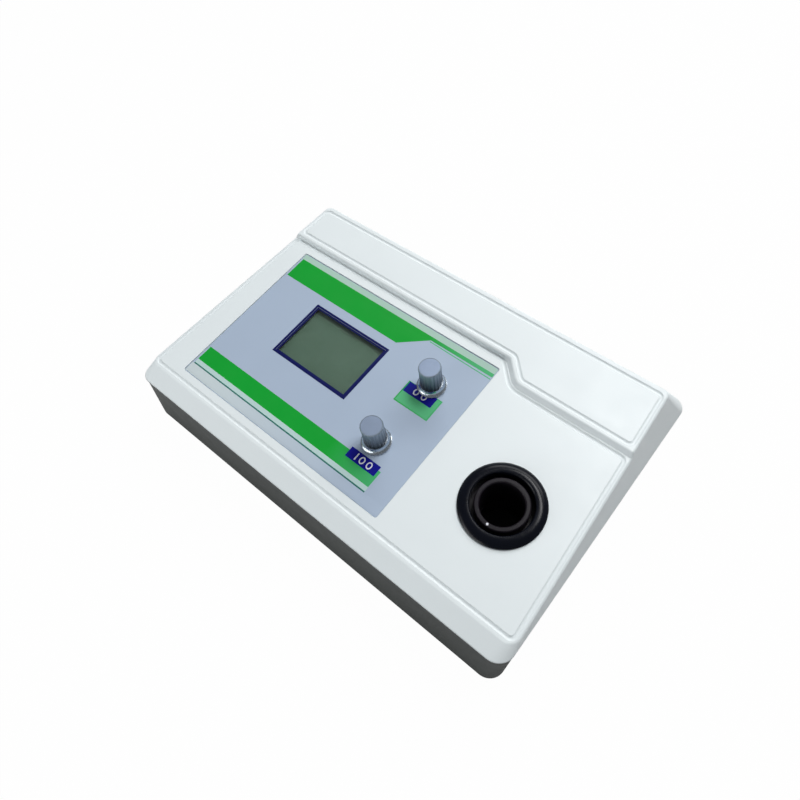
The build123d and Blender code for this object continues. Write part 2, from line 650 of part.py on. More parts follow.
with BuildPart() as lower_housing:
    add(outer_tray)
    add(inner_tray, mode=Mode.SUBTRACT)
    # Connector bay
    with Locations((bay_x, BAY_FLOOR_Y - BAY_WALL, FLOOR - WALL / 2)):
        Box(BAY_WIDTH + 2 * BAY_WALL, rear_inside - BAY_FLOOR_Y + BAY_WALL,
            BAY_BOTTOM + BAY_HEIGHT + BAY_WALL - FLOOR + WALL / 2, align=(Align.CENTER, Align.MIN, Align.MIN))
    with Locations((bay_x, BAY_FLOOR_Y, BAY_MIDDLE)):
        Box(BAY_WIDTH, 2 * BAY_DEPTH, BAY_HEIGHT, align=(Align.CENTER, Align.MIN, Align.CENTER),
            mode=Mode.SUBTRACT)
    with Locations((INLET_X, BAY_FLOOR_Y, INLET_Z)):
        Box(INLET_BODY_WIDTH + 2 * WINDOW_GAP, 4 * BAY_WALL, INLET_BODY_HEIGHT + 2 * WINDOW_GAP,
            mode=Mode.SUBTRACT)
    with Locations((SWITCH_X, BAY_FLOOR_Y, SWITCH_Z)):
        Box(SWITCH_BODY_WIDTH + 2 * WINDOW_GAP, 4 * BAY_WALL, SWITCH_BODY_HEIGHT + 2 * WINDOW_GAP,
            mode=Mode.SUBTRACT)
    # Bosses of the housing screws, each with its head hidden in a well from beneath
    with BuildSketch(Plane.XY.offset(FLOOR - WALL / 2)):
        with Locations(*CASE_SCREWS):
            Circle(CASE_BOSS_RADIUS)
    extrude(amount=CASE_SEAT_HEIGHT - FLOOR + WALL / 2)
    with BuildSketch(Plane.XY):
        with Locations(*CASE_SCREWS):
            Circle(CASE_HEAD_RADIUS + LOOSE_GAP)
    extrude(amount=CASE_SEAT_HEIGHT - CASE_LEDGE, mode=Mode.SUBTRACT)
    with BuildSketch(Plane.XY):
        with Locations(*CASE_SCREWS):
            Circle(CASE_HOLE_RADIUS)
    extrude(amount=CASE_SEAT_HEIGHT + HOLE_SPARE, mode=Mode.SUBTRACT)
    # Standoffs of the main board and pads of the transformer
    with BuildSketch(Plane.XY.offset(FLOOR - WALL / 2)):
        with Locations(*BOARD_POSTS):
            Circle(STANDOFF_RADIUS)
    extrude(amount=STANDOFF_HEIGHT + WALL / 2)
    with BuildSketch(Plane.XY.offset(FLOOR - WALL / 2)):
        with Locations(*STRAP_POSTS):
            Circle(CASE_BOSS_RADIUS)
    extrude(amount=STRAP_PAD + WALL / 2)
    with BuildSketch(Plane.XY.offset(FLOOR - HOLE_SPARE)):
        with Locations(*BOARD_POSTS, *STRAP_POSTS):
            Circle(BOARD_SCREW_RADIUS + THREAD_GAP)
    extrude(amount=STANDOFF_HEIGHT + 2 * HOLE_SPARE, mode=Mode.SUBTRACT)
    # Holes of the feet
    with BuildSketch(Plane.XY):
        with Locations(*FEET):
            Circle(FOOT_PLUG_RADIUS + THREAD_GAP)
    extrude(amount=FLOOR + HOLE_SPARE, mode=Mode.SUBTRACT)
    # Tabs that locate the upper housing
    for x in (-1, 1):
        for y in TAB_Y:
            with Locations((x * TAB_FACE_X, y, PARTING_HEIGHT + TAB_HEIGHT)):
                Box(TAB_THICKNESS, TAB_WIDTH, TAB_DROP + TAB_HEIGHT,
                    align=(Align.MAX if x > 0 else Align.MIN, Align.CENTER, Align.MAX))
            with Locations((x * TAB_FACE_X, y, PARTING_HEIGHT)):
                Box(TAB_GAP + TAB_ROOT, TAB_WIDTH, TAB_DROP,
                    align=(Align.MIN if x > 0 else Align.MAX, Align.CENTER, Align.MAX))
    # Vents under the transformer
    with BuildSketch(Plane.XY):
        with Locations((TRANSFORMER_X, TRANSFORMER_Y)):
            with GridLocations(VENT_PITCH, 1, VENTS, 1):
                SlotOverall(VENT_LENGTH, VENT_WIDTH, rotation=90)
    extrude(amount=FLOOR + HOLE_SPARE, mode=Mode.SUBTRACT)

# Panel and display
with BuildPart() as panel_overlay:
    with BuildSketch(FRONT.offset(RECESS)):
        with Locations((panel_x, panel_s)):
            RectangleRounded(PANEL_RIGHT - PANEL_LEFT, PANEL_REAR - PANEL_FRONT, RECESS_CORNER - RECESS_GAP)
        with Locations((DISPLAY_X, DISPLAY_S)):
            Rectangle(VIEW_WIDTH, VIEW_HEIGHT, mode=Mode.SUBTRACT)
        with Locations((ZERO_X, ZERO_S), (CAL_X, CAL_S)):
            Circle(NUT_ACROSS_FLATS / 2 + NUT_CLEARANCE, mode=Mode.SUBTRACT)
    extrude(amount=OVERLAY_THICKNESS)

with BuildPart() as display_window:
    with BuildSketch(on_slope(DISPLAY_X, DISPLAY_S, -WALL)):
        Rectangle(WINDOW_WIDTH, WINDOW_HEIGHT)
    extrude(amount=WALL - RECESS_DEPTH)

glass_width = VIEW_WIDTH + 2 * GLASS_MARGIN
glass_height = VIEW_HEIGHT + 2 * GLASS_MARGIN

with BuildPart() as display_frame:
    with BuildSketch(on_slope(DISPLAY_X, DISPLAY_S, -DISPLAY_BOARD_DEPTH)):
        Rectangle(glass_width + 2 * LOOSE_GAP + 2 * FRAME_WALL, glass_height + 2 * LOOSE_GAP + 2 * FRAME_WALL)
        Rectangle(glass_width + 2 * LOOSE_GAP, glass_height + 2 * LOOSE_GAP, mode=Mode.SUBTRACT)
    extrude(amount=DISPLAY_BOARD_DEPTH - GLASS_DEPTH)
    with BuildSketch(on_slope(DISPLAY_X, DISPLAY_S, -GLASS_DEPTH)):
        Rectangle(glass_width + 2 * LOOSE_GAP + 2 * FRAME_WALL, glass_height + 2 * LOOSE_GAP + 2 * FRAME_WALL)
        Rectangle(VIEW_WIDTH, VIEW_HEIGHT, mode=Mode.SUBTRACT)
    extrude(amount=GLASS_DEPTH - WALL)

with BuildPart() as display_glass:
    with BuildSketch(on_slope(DISPLAY_X, DISPLAY_S, -GLASS_DEPTH)):
        Rectangle(glass_width, glass_height)
    extrude(amount=-GLASS_THICKNESS)

with BuildPart() as display_backlight:
    with BuildSketch(on_slope(DISPLAY_X, DISPLAY_S, -DISPLAY_BOARD_DEPTH)):
        Rectangle(glass_width, glass_height)
    extrude(amount=DISPLAY_BOARD_DEPTH - GLASS_DEPTH - GLASS_THICKNESS)

with BuildPart() as display_board:
    with BuildSketch(FRONT.offset(-DISPLAY_BOARD_DEPTH)):
        with Locations((DISPLAY_X, DISPLAY_S)):
            RectangleRounded(DISPLAY_BOARD_WIDTH, DISPLAY_BOARD_HEIGHT, BOARD_CORNER)
        with Locations(*DISPLAY_POSTS):
            Circle(DISPLAY_SCREW_RADIUS + LOOSE_GAP, mode=Mode.SUBTRACT)
    extrude(amount=-BOARD_THICKNESS)

with BuildPart() as display_screws:
    with BuildSketch(FRONT.offset(-DISPLAY_BOARD_DEPTH - BOARD_THICKNESS)):
        with Locations(*DISPLAY_POSTS):
            Circle(DISPLAY_HEAD_RADIUS)
    extrude(amount=-DISPLAY_HEAD_HEIGHT)
    with BuildSketch(FRONT.offset(-DISPLAY_BOARD_DEPTH - BOARD_THICKNESS)):
        with Locations(*DISPLAY_POSTS):
            Circle(DISPLAY_SCREW_RADIUS)
    extrude(amount=BOARD_THICKNESS + DISPLAY_SCREW_GRIP)

with BuildPart() as display_header:
    with BuildSketch(on_slope(DISPLAY_X, DISPLAY_S, -DISPLAY_BOARD_DEPTH - BOARD_THICKNESS)):
        with Locations((0, DISPLAY_HEADER_S)):
            Rectangle(RIBBON_WIDTH + 2 * HEADER_END, HEADER_DEPTH)
    extrude(amount=-HEADER_HEIGHT)


# Knobs, each with its ring, cap, shaft, potentiometer and nut
def knob_profile():
    """Half section of a knob, with the hollow for the nut and the bore for the shaft."""
    low = RECESS + OVERLAY_THICKNESS + KNOB_LIFT
    top = KNOB_HEIGHT - CAP_THICKNESS / 2
    hollow_top = BUSH_TOP + HOLE_SPARE
    hollow_radius = NUT_ACROSS_FLATS / 2 + NUT_CLEARANCE
    with BuildSketch() as profile:
        Polygon((hollow_radius, low), (KNOB_RADIUS, low), (KNOB_RADIUS, top - KNOB_CHAMFER_HEIGHT),
                (KNOB_TOP_RADIUS, top), (CAP_RADIUS, top), (CAP_RADIUS, top - CAP_THICKNESS),
                (0, top - CAP_THICKNESS), (0, SHAFT_TOP), (SHAFT_RADIUS + THREAD_GAP, SHAFT_TOP),
                (SHAFT_RADIUS + THREAD_GAP, hollow_top), (hollow_radius, hollow_top), align=None)
    return profile.sketch


def ring_profile():
    """Half section of the flared ring round the foot of a knob."""
    low = RECESS + OVERLAY_THICKNESS + KNOB_LIFT
    foot = (SKIRT_RADIUS, low + SKIRT_EDGE)
    neck = (KNOB_RADIUS + SKIRT_NECK, low + SKIRT_HEIGHT)
    with BuildSketch() as profile:
        with BuildLine():
            Polyline((KNOB_RADIUS, low), (SKIRT_RADIUS, low), foot)
            SagittaArc(foot, neck, SKIRT_HOLLOW)
            Polyline(neck, (KNOB_RADIUS, low + SKIRT_HEIGHT), (KNOB_RADIUS, low))
        make_face()
    return profile.sketch


def turned(profile, x, s, w=0.0):
    """Solid turned about the normal of the slope at a place on it."""
    axis_plane = Plane(origin=on_slope(x, s, w).origin, x_dir=(1, 0, 0), z_dir=Vector(0, -COS, -SIN))
    with BuildPart() as body:
        with BuildSketch(axis_plane):
            add(profile)
        revolve(axis=Axis(axis_plane.origin, NORMAL))
    return body.part


knob_section = knob_profile()
ring_section = ring_profile()

for name, x, s in (("zero_knob", ZERO_X, ZERO_S), ("cal_knob", CAL_X, CAL_S)):
    blank = turned(knob_section, x, s)
    with BuildPart() as knob:
        add(blank)
        with BuildSketch(on_slope(x, s, SKIRT_HEIGHT + FLUTE_LIFT)):
            with PolarLocations(KNOB_RADIUS + FLUTE_RADIUS - FLUTE_DEPTH, FLUTES):
                Circle(FLUTE_RADIUS)
        extrude(amount=KNOB_HEIGHT, mode=Mode.SUBTRACT)
    finish(knob, name)

    ring = turned(ring_section, x, s)
    with BuildPart() as knob_ring:
        add(ring)
    finish(knob_ring, name + "_ring")

    with BuildPart() as knob_cap:
        with BuildSketch(on_slope(x, s, KNOB_HEIGHT - CAP_THICKNESS * 1.5)):
            Circle(CAP_RADIUS)
        extrude(amount=CAP_THICKNESS)
        chamfer(knob_cap.edges().sort_by(Axis(FRONT.origin, NORMAL))[-1], CAP_CHAMFER)
    finish(knob_cap, name + "_cap")

    with BuildPart() as shaft:
        with BuildSketch(on_slope(x, s, SHAFT_BOTTOM)):
            Circle(SHAFT_RADIUS)
        extrude(amount=SHAFT_TOP - SHAFT_BOTTOM)
    finish(shaft, name + "_shaft")

knob_places = ((ZERO_X, ZERO_S), (CAL_X, CAL_S))

with BuildPart() as potentiometers:
    with BuildSketch(FRONT.offset(-WALL)):
        with Locations(*knob_places):
            Circle(POT_RADIUS)
    extrude(amount=-POT_THICKNESS)
    with BuildSketch(FRONT.offset(-WALL)):
        with Locations(*knob_places):
            Circle(BUSH_RADIUS)
    extrude(amount=BUSH_TOP + WALL)
    with BuildSketch(FRONT.offset(-WALL - POT_THICKNESS)):
        with Locations(*[(x + i * POT_TAG_PITCH, s) for x, s in knob_places for i in (-1, 0, 1)]):
            Rectangle(POT_TAG_WIDTH, POT_RADIUS + POT_TAG_LENGTH, align=(Align.CENTER, Align.MAX))
    extrude(amount=POT_TAG_THICKNESS)
    with BuildSketch(FRONT.offset(SHAFT_BOTTOM - HOLE_SPARE)):
        with Locations(*knob_places):
            Circle(SHAFT_RADIUS + RUNNING_FIT)
    extrude(amount=BUSH_TOP - SHAFT_BOTTOM + 2 * HOLE_SPARE, mode=Mode.SUBTRACT)

with BuildPart() as potentiometer_nuts:
    with BuildSketch(FRONT.offset(RECESS)):
        with Locations(*knob_places):
            RegularPolygon(NUT_ACROSS_FLATS / 2, 6, major_radius=False)
            Circle(BUSH_RADIUS + THREAD_GAP, mode=Mode.SUBTRACT)
    extrude(amount=NUT_THICKNESS)

# Sample well
with BuildSketch() as flange_section:
    with BuildLine():
        inside = Polyline((FLANGE_RADIUS, FLANGE_EDGE), (FLANGE_RADIUS, 0), (SPIGOT_RADIUS, 0),
                          (SPIGOT_RADIUS, -SPIGOT_DEPTH), (LIP_RADIUS, -SPIGOT_DEPTH),
                          (LIP_RADIUS, LIP_HEIGHT - LIP_CHAMFER), (LIP_RADIUS + LIP_CHAMFER, LIP_HEIGHT))
        SagittaArc(inside @ 1, inside @ 0, FLANGE_CROWN)
    make_face()
well_flange_solid = turned(flange_section.sketch, WELL_X, WELL_S)

with BuildPart() as well_flange:
    add(well_flange_solid)

with BuildPart() as well_nut:
    with BuildSketch(on_slope(WELL_X, WELL_S, -WALL)):
        Circle(RING_NUT_RADIUS)
        Circle(SPIGOT_RADIUS + THREAD_GAP, mode=Mode.SUBTRACT)
        with PolarLocations(RING_NUT_RADIUS, RING_NUT_NOTCHES):
            Rectangle(RING_NUT_NOTCH, RING_NUT_NOTCH, mode=Mode.SUBTRACT)
    extrude(amount=-RING_NUT_THICKNESS)

# Planes through the light beams, facing along them from the middle of the cell
beam_centre = on_slope(WELL_X, WELL_S, -BEAM_DEPTH).origin
rearward = Plane(beam_centre, x_dir=(1, 0, 0), z_dir=(0, COS, SIN))
forward = Plane(beam_centre, x_dir=(1, 0, 0), z_dir=(0, -COS, -SIN))
sideways = Plane(beam_centre, x_dir=(0, COS, SIN), z_dir=(-1, 0, 0))
half_block = BLOCK_SIZE / 2
lens_seat = HOLDER_RADIUS + LENS_GAP

with BuildPart() as cell_holder:
    with BuildSketch(on_slope(WELL_X, WELL_S, -HOLDER_DEPTH - HOLDER_FLOOR)):
        Circle(HOLDER_RADIUS)
    extrude(amount=HOLDER_DEPTH + HOLDER_FLOOR + HOLDER_TOP)
    with BuildSketch(on_slope(WELL_X, WELL_S, BLOCK_TOP)):
        Circle(COLLAR_RADIUS)
    extrude(amount=-SPIGOT_DEPTH - BLOCK_TOP)
    with BuildSketch(on_slope(WELL_X, WELL_S, -HOLDER_DEPTH)):
        Circle(CELL_BORE_RADIUS)
    extrude(amount=HOLDER_DEPTH + HOLDER_TOP + HOLE_SPARE, mode=Mode.SUBTRACT)
    chamfer(cell_holder.edges().sort_by(Axis(FRONT.origin, NORMAL))[-2:], HOLDER_CHAMFER)
    for side in (rearward, forward, sideways):
        with BuildSketch(side):
            Circle(BEAM_RADIUS)
        extrude(amount=HOLDER_RADIUS + HOLE_SPARE, mode=Mode.SUBTRACT)

with BuildPart() as optical_block:
    with BuildSketch(FRONT.offset(BLOCK_BOTTOM)):
        with Locations((WELL_X, WELL_S)):
            RectangleRounded(BLOCK_SIZE, BLOCK_SIZE, BLOCK_CORNER)
            Circle(HOLDER_RADIUS + THREAD_GAP, mode=Mode.SUBTRACT)
        with Locations(*BLOCK_POSTS):
            Circle(BLOCK_SCREW_RADIUS + LOOSE_GAP, mode=Mode.SUBTRACT)
    extrude(amount=BLOCK_TOP - BLOCK_BOTTOM)
    with BuildSketch(FRONT.offset(BLOCK_BOTTOM)):
        with Locations(*BLOCK_POSTS):
            Circle(CASE_HEAD_RADIUS + LOOSE_GAP)
    extrude(amount=BLOCK_TOP - BLOCK_BOTTOM - BLOCK_SCREW_LEDGE, mode=Mode.SUBTRACT)
    with BuildSketch(rearward):
        Circle(BEAM_RADIUS)
    extrude(amount=half_block, mode=Mode.SUBTRACT)
    with BuildSketch(rearward.offset(lens_seat)):
        Circle(LAMP_BORE_RADIUS)
    extrude(amount=half_block, mode=Mode.SUBTRACT)
    for side in (forward, sideways):
        with BuildSketch(side):
            Circle(BEAM_RADIUS)
        extrude(amount=half_block, mode=Mode.SUBTRACT)
        with BuildSketch(side.offset(half_block - DETECTOR_THICKNESS - LOOSE_GAP)):
            Circle(DETECTOR_RADIUS + LOOSE_GAP)
        extrude(amount=DETECTOR_THICKNESS + HOLE_SPARE, mode=Mode.SUBTRACT)
        with BuildSketch(side.offset(half_block)):
            with Locations((-DETECTOR_SCREW_PITCH / 2, 0), (DETECTOR_SCREW_PITCH / 2, 0)):
                Circle(DETECTOR_SCREW_RADIUS + THREAD_GAP)
        extrude(amount=-DETECTOR_SCREW_GRIP - HOLE_SPARE, mode=Mode.SUBTRACT)

with BuildPart() as block_screws:
    with BuildSketch(FRONT.offset(BLOCK_TOP - BLOCK_SCREW_LEDGE)):
        with Locations(*BLOCK_POSTS):
            Circle(CASE_HEAD_RADIUS)
    extrude(amount=-CASE_HEAD_HEIGHT)
    with BuildSketch(FRONT.offset(BLOCK_TOP - BLOCK_SCREW_LEDGE)):
        with Locations(*BLOCK_POSTS):
            Circle(BLOCK_SCREW_RADIUS)
    extrude(amount=BLOCK_SCREW_LEDGE + BLOCK_SCREW_GRIP)

with BuildPart() as lamp_lens:
    with BuildSketch(rearward.offset(lens_seat)):
        Circle(LAMP_BORE_RADIUS - RUNNING_FIT)
    extrude(amount=LENS_THICKNESS)

with BuildPart() as lamp_holder:
    with BuildSketch(rearward.offset(lens_seat + LENS_THICKNESS)):
        Circle(LAMP_BORE_RADIUS - RUNNING_FIT)
    extrude(amount=half_block - lens_seat - LENS_THICKNESS + LAMP_HOLDER_LENGTH)
    with BuildSketch(rearward.offset(half_block)):
        Circle(LAMP_BORE_RADIUS + LAMP_FLANGE_WIDTH)
    extrude(amount=LAMP_FLANGE_THICKNESS)
    with BuildSketch(rearward.offset(lens_seat)):
        Circle(LAMP_RADIUS + LAMP_GAP)
    extrude(amount=half_block - lens_seat + LAMP_SEAT, mode=Mode.SUBTRACT)
    with BuildSketch(rearward.offset(half_block)):
        Circle(LAMP_STEM_RADIUS + THREAD_GAP)
    extrude(amount=LAMP_HOLDER_LENGTH + HOLE_SPARE, mode=Mode.SUBTRACT)

lamp_front = lens_seat + LENS_THICKNESS + LAMP_GAP
with BuildPart() as lamp:
    with BuildSketch(rearward.offset(lamp_front)):
        Circle(LAMP_RADIUS)
    extrude(amount=half_block - lamp_front + LAMP_SEAT)
    chamfer(lamp.faces().sort_by(Axis(rearward.origin, rearward.z_dir))[0].edges(), LAMP_CHAMFER)
    with BuildSketch(rearward.offset(half_block + LAMP_SEAT)):
        Circle(LAMP_STEM_RADIUS)
    extrude(amount=LAMP_HOLDER_LENGTH - LAMP_SEAT)

with BuildPart() as detectors:
    for side in (forward, sideways):
        with BuildSketch(side.offset(half_block)):
            Circle(DETECTOR_RADIUS)
        extrude(amount=-DETECTOR_THICKNESS)

with BuildPart() as detector_boards:
    for side in (forward, sideways):
        with BuildSketch(side.offset(half_block)):
            Rectangle(DETECTOR_BOARD_WIDTH, DETECTOR_BOARD_HEIGHT)
            with Locations((-DETECTOR_SCREW_PITCH / 2, 0), (DETECTOR_SCREW_PITCH / 2, 0)):
                Circle(DETECTOR_SCREW_RADIUS + LOOSE_GAP, mode=Mode.SUBTRACT)
        extrude(amount=BOARD_THICKNESS)

with BuildPart() as detector_screws:
    for side in (forward, sideways):
        with BuildSketch(side.offset(half_block + BOARD_THICKNESS)):
            with Locations((-DETECTOR_SCREW_PITCH / 2, 0), (DETECTOR_SCREW_PITCH / 2, 0)):
                Circle(DETECTOR_HEAD_RADIUS)
        extrude(amount=DETECTOR_HEAD_HEIGHT)
        with BuildSketch(side.offset(half_block + BOARD_THICKNESS)):
            with Locations((-DETECTOR_SCREW_PITCH / 2, 0), (DETECTOR_SCREW_PITCH / 2, 0)):
                Circle(DETECTOR_SCREW_RADIUS)
        extrude(amount=-BOARD_THICKNESS - DETECTOR_SCREW_GRIP)

# Main board and what is on it
board_top = FLOOR + STANDOFF_HEIGHT + BOARD_THICKNESS

with BuildPart() as main_board:
    with BuildSketch(Plane.XY.offset(FLOOR + STANDOFF_HEIGHT)):
        with Locations((BOARD_X, BOARD_Y)):
            RectangleRounded(BOARD_WIDTH, BOARD_DEPTH, BOARD_CORNER)
        with Locations(*BOARD_POSTS):
            Circle(BOARD_SCREW_RADIUS + LOOSE_GAP, mode=Mode.SUBTRACT)
    extrude(amount=BOARD_THICKNESS)

with BuildPart() as board_screws:
    with BuildSketch(Plane.XY.offset(board_top)):
        with Locations(*BOARD_POSTS):
            Circle(BOARD_HEAD_RADIUS)
    extrude(amount=BOARD_HEAD_HEIGHT)
    with BuildSketch(Plane.XY.offset(FLOOR)):
        with Locations(*BOARD_POSTS):
            Circle(BOARD_SCREW_RADIUS)
    extrude(amount=STANDOFF_HEIGHT + BOARD_THICKNESS)

with BuildPart() as processor:
    with Locations((BOARD_LEFT + PROCESSOR_INSET[0], BOARD_FRONT + PROCESSOR_INSET[1], board_top)):
        Box(PROCESSOR_SIZE, PROCESSOR_SIZE, PROCESSOR_THICKNESS, align=BASE)

with BuildPart() as capacitors:
    with Locations(*[(BOARD_RIGHT - x, BOARD_REAR - y, board_top) for x, y in CAPACITOR_INSETS]):
        Cylinder(CAPACITOR_RADIUS, CAPACITOR_HEIGHT, align=BASE)
    chamfer(capacitors.faces().sort_by(Axis.Z)[-3:].edges(), CAPACITOR_CHAMFER)

regulator_back = Location((BOARD_LEFT + REGULATOR_INSET[0], BOARD_REAR - REGULATOR_INSET[1], board_top))

with BuildPart() as regulator:
    with Locations(regulator_back):
        Box(REGULATOR_WIDTH, REGULATOR_THICKNESS, REGULATOR_HEIGHT,
            align=(Align.CENTER, Align.MAX, Align.MIN))

with BuildPart() as heat_sink:
    with Locations(regulator_back):
        Box(HEAT_SINK_WIDTH, HEAT_SINK_BACK, HEAT_SINK_HEIGHT, align=(Align.CENTER, Align.MIN, Align.MIN))
        with GridLocations(HEAT_SINK_PITCH, 1, HEAT_SINK_FINS, 1):
            Box(HEAT_SINK_FIN, HEAT_SINK_DEPTH, HEAT_SINK_HEIGHT, align=(Align.CENTER, Align.MIN, Align.MIN))

with BuildPart() as board_headers:
    with Locations((DISPLAY_X, BOARD_HEADER_Y, board_top)):
        Box(RIBBON_WIDTH + 2 * HEADER_END, HEADER_DEPTH, HEADER_HEIGHT, align=BASE)
    header_x = BOARD_RIGHT - BOARD_HEADER_INSET
    with Locations((header_x, BOARD_Y - BOARD_HEADER_SHIFT, board_top), (header_x, BOARD_Y, board_top)):
        Box(HEADER_DEPTH, BOARD_HEADER_LENGTH, HEADER_HEIGHT, align=BASE)

display_header_point = FRONT.from_local_coords(
    Vector(DISPLAY_X, DISPLAY_S + DISPLAY_HEADER_S, -DISPLAY_BOARD_DEPTH - BOARD_THICKNESS - HEADER_HEIGHT))
ribbon_low = (BOARD_HEADER_Y, board_top + HEADER_HEIGHT)
ribbon_high = (display_header_point.Y, display_header_point.Z)

with BuildPart() as display_ribbon:
    with BuildSketch(Plane.YZ.offset(DISPLAY_X)):
        with BuildLine():
            FilletPolyline(ribbon_low, (ribbon_low[0], ribbon_low[1] + LEAD_RUN),
                           (ribbon_high[0] + LEAD_RUN * SIN, ribbon_high[1] - LEAD_RUN * COS), ribbon_high,
                           radius=RIBBON_BEND)
        trace(line_width=RIBBON_THICKNESS)
    extrude(amount=RIBBON_WIDTH / 2, both=True)

# Transformer
strap_base = FLOOR + STRAP_PAD

with BuildPart() as transformer_core:
    with Locations((TRANSFORMER_X, TRANSFORMER_Y, strap_base)):
        Box(CORE_WIDTH, CORE_DEPTH, CORE_HEIGHT, align=BASE)
    with Locations((TRANSFORMER_X, TRANSFORMER_Y, strap_base + CORE_HEIGHT / 2)):
        with Locations((-CORE_LEG * 1.5, 0), (CORE_LEG * 1.5, 0)):
            Box(CORE_LEG, CORE_DEPTH, CORE_HEIGHT - 2 * CORE_LEG, mode=Mode.SUBTRACT)

with BuildPart() as transformer_coil:
    with BuildSketch(Plane.XY.offset(strap_base + CORE_LEG + LOOSE_GAP)):
        with Locations((TRANSFORMER_X, TRANSFORMER_Y)):
            RectangleRounded(4 * CORE_LEG - 2 * LOOSE_GAP, CORE_DEPTH + 2 * CORE_LEG, COIL_CORNER)
            Rectangle(2 * CORE_LEG + 2 * LOOSE_GAP, CORE_DEPTH + 2 * LOOSE_GAP, mode=Mode.SUBTRACT)
    extrude(amount=CORE_HEIGHT - 2 * CORE_LEG - 2 * LOOSE_GAP)

with BuildPart() as transformer_strap:
    with BuildSketch(Plane.XZ.offset(-TRANSFORMER_Y)):
        with Locations((TRANSFORMER_X, strap_base)):
            Rectangle(CORE_WIDTH + 2 * STRAP, CORE_HEIGHT + STRAP, align=(Align.CENTER, Align.MIN))
            Rectangle(CORE_WIDTH + 2 * STRAP + 2 * STRAP_EAR, STRAP, align=(Align.CENTER, Align.MIN))
            Rectangle(CORE_WIDTH, CORE_HEIGHT, align=(Align.CENTER, Align.MIN), mode=Mode.SUBTRACT)
    extrude(amount=CORE_DEPTH / 2 - STRAP_MARGIN, both=True)
    with BuildSketch(Plane.XY.offset(strap_base)):
        with Locations(*STRAP_POSTS):
            Circle(BOARD_SCREW_RADIUS + LOOSE_GAP)
    extrude(amount=STRAP, mode=Mode.SUBTRACT)

with BuildPart() as transformer_screws:
    with BuildSketch(Plane.XY.offset(strap_base + STRAP)):
        with Locations(*STRAP_POSTS):
            Circle(BOARD_HEAD_RADIUS)
    extrude(amount=BOARD_HEAD_HEIGHT)
    with BuildSketch(Plane.XY.offset(FLOOR)):
        with Locations(*STRAP_POSTS):
            Circle(BOARD_SCREW_RADIUS)
    extrude(amount=STRAP_PAD + STRAP)

# Mains inlet with its fuse drawer
inlet_front = BAY_FLOOR_Y + INLET_FLANGE_THICKNESS
drawer_end = BAY_FLOOR_Y - INLET_BODY_DEPTH + DRAWER_BACK

with BuildPart() as mains_inlet:
    with Locations((INLET_X, BAY_FLOOR_Y, INLET_Z)):
        Box(INLET_FLANGE_WIDTH, INLET_FLANGE_THICKNESS, INLET_FLANGE_HEIGHT,
            align=(Align.CENTER, Align.MIN, Align.CENTER))
        Box(INLET_BODY_WIDTH, INLET_BODY_DEPTH, INLET_BODY_HEIGHT,
            align=(Align.CENTER, Align.MAX, Align.CENTER))
    flange_edges = mains_inlet.edges().filter_by(Axis.Y).filter_by(lambda e: e.center().Y > BAY_FLOOR_Y)
    fillet(flange_edges, INLET_CORNER)
    plug_mid = INLET_Z + PLUG_Z
    half_plug = PLUG_WIDTH / 2
    plug_top = PLUG_HEIGHT / 2
    with BuildSketch(Plane.XZ.offset(-inlet_front)):
        with Locations((INLET_X, plug_mid)):
            Polygon((-half_plug, plug_top), (half_plug, plug_top), (half_plug, PLUG_CHAMFER - plug_top),
                    (half_plug - PLUG_CHAMFER, -plug_top), (PLUG_CHAMFER - half_plug, -plug_top),
                    (-half_plug, PLUG_CHAMFER - plug_top), align=None)
    extrude(amount=PLUG_DEPTH, mode=Mode.SUBTRACT)
    with BuildSketch(Plane.XZ.offset(-inlet_front)):
        with Locations((INLET_X, INLET_Z + DRAWER_Z)):
            Rectangle(DRAWER_WIDTH + 2 * DRAWER_GAP, DRAWER_HEIGHT + 2 * DRAWER_GAP)
    extrude(amount=inlet_front - drawer_end, mode=Mode.SUBTRACT)
    with BuildSketch(Plane.XZ.offset(-inlet_front)):
        with Locations(*PINS):
            Rectangle(PIN_WIDTH, PIN_HEIGHT)
    extrude(amount=INLET_BODY_DEPTH + INLET_FLANGE_THICKNESS, mode=Mode.SUBTRACT)

with BuildPart() as inlet_pins:
    with BuildSketch(Plane.XZ.offset(PIN_SETBACK - inlet_front)):
        with Locations(*PINS):
            Rectangle(PIN_WIDTH, PIN_HEIGHT)
    extrude(amount=INLET_BODY_DEPTH + INLET_FLANGE_THICKNESS + PIN_TAIL)
    chamfer(inlet_pins.faces().sort_by(Axis.Y)[-3:].edges(), PIN_CHAMFER)

with BuildPart() as fuse_drawer:
    with Locations((INLET_X, inlet_front, INLET_Z + DRAWER_Z)):
        Box(DRAWER_WIDTH, DRAWER_DEPTH, DRAWER_HEIGHT, align=(Align.CENTER, Align.MAX, Align.CENTER))
        Box(DRAWER_WIDTH, DRAWER_LIP, DRAWER_HEIGHT, align=(Align.CENTER, Align.MIN, Align.CENTER))
    fillet(fuse_drawer.faces().sort_by(Axis.Y)[-1].edges(), DRAWER_ROUND)
    with Locations((INLET_X, inlet_front + DRAWER_LIP, INLET_Z + DRAWER_Z - DRAWER_HEIGHT / 2)):
        Box(DRAWER_GRIP_WIDTH, DRAWER_LIP, DRAWER_GRIP_HEIGHT, mode=Mode.SUBTRACT)
    with Locations((INLET_X, FUSE_Y, FUSE_SEAT)):
        Box(FUSE_LENGTH + 2 * DRAWER_GAP, 2 * FUSE_RADIUS + 2 * DRAWER_GAP, DRAWER_HEIGHT, align=BASE,
            mode=Mode.SUBTRACT)

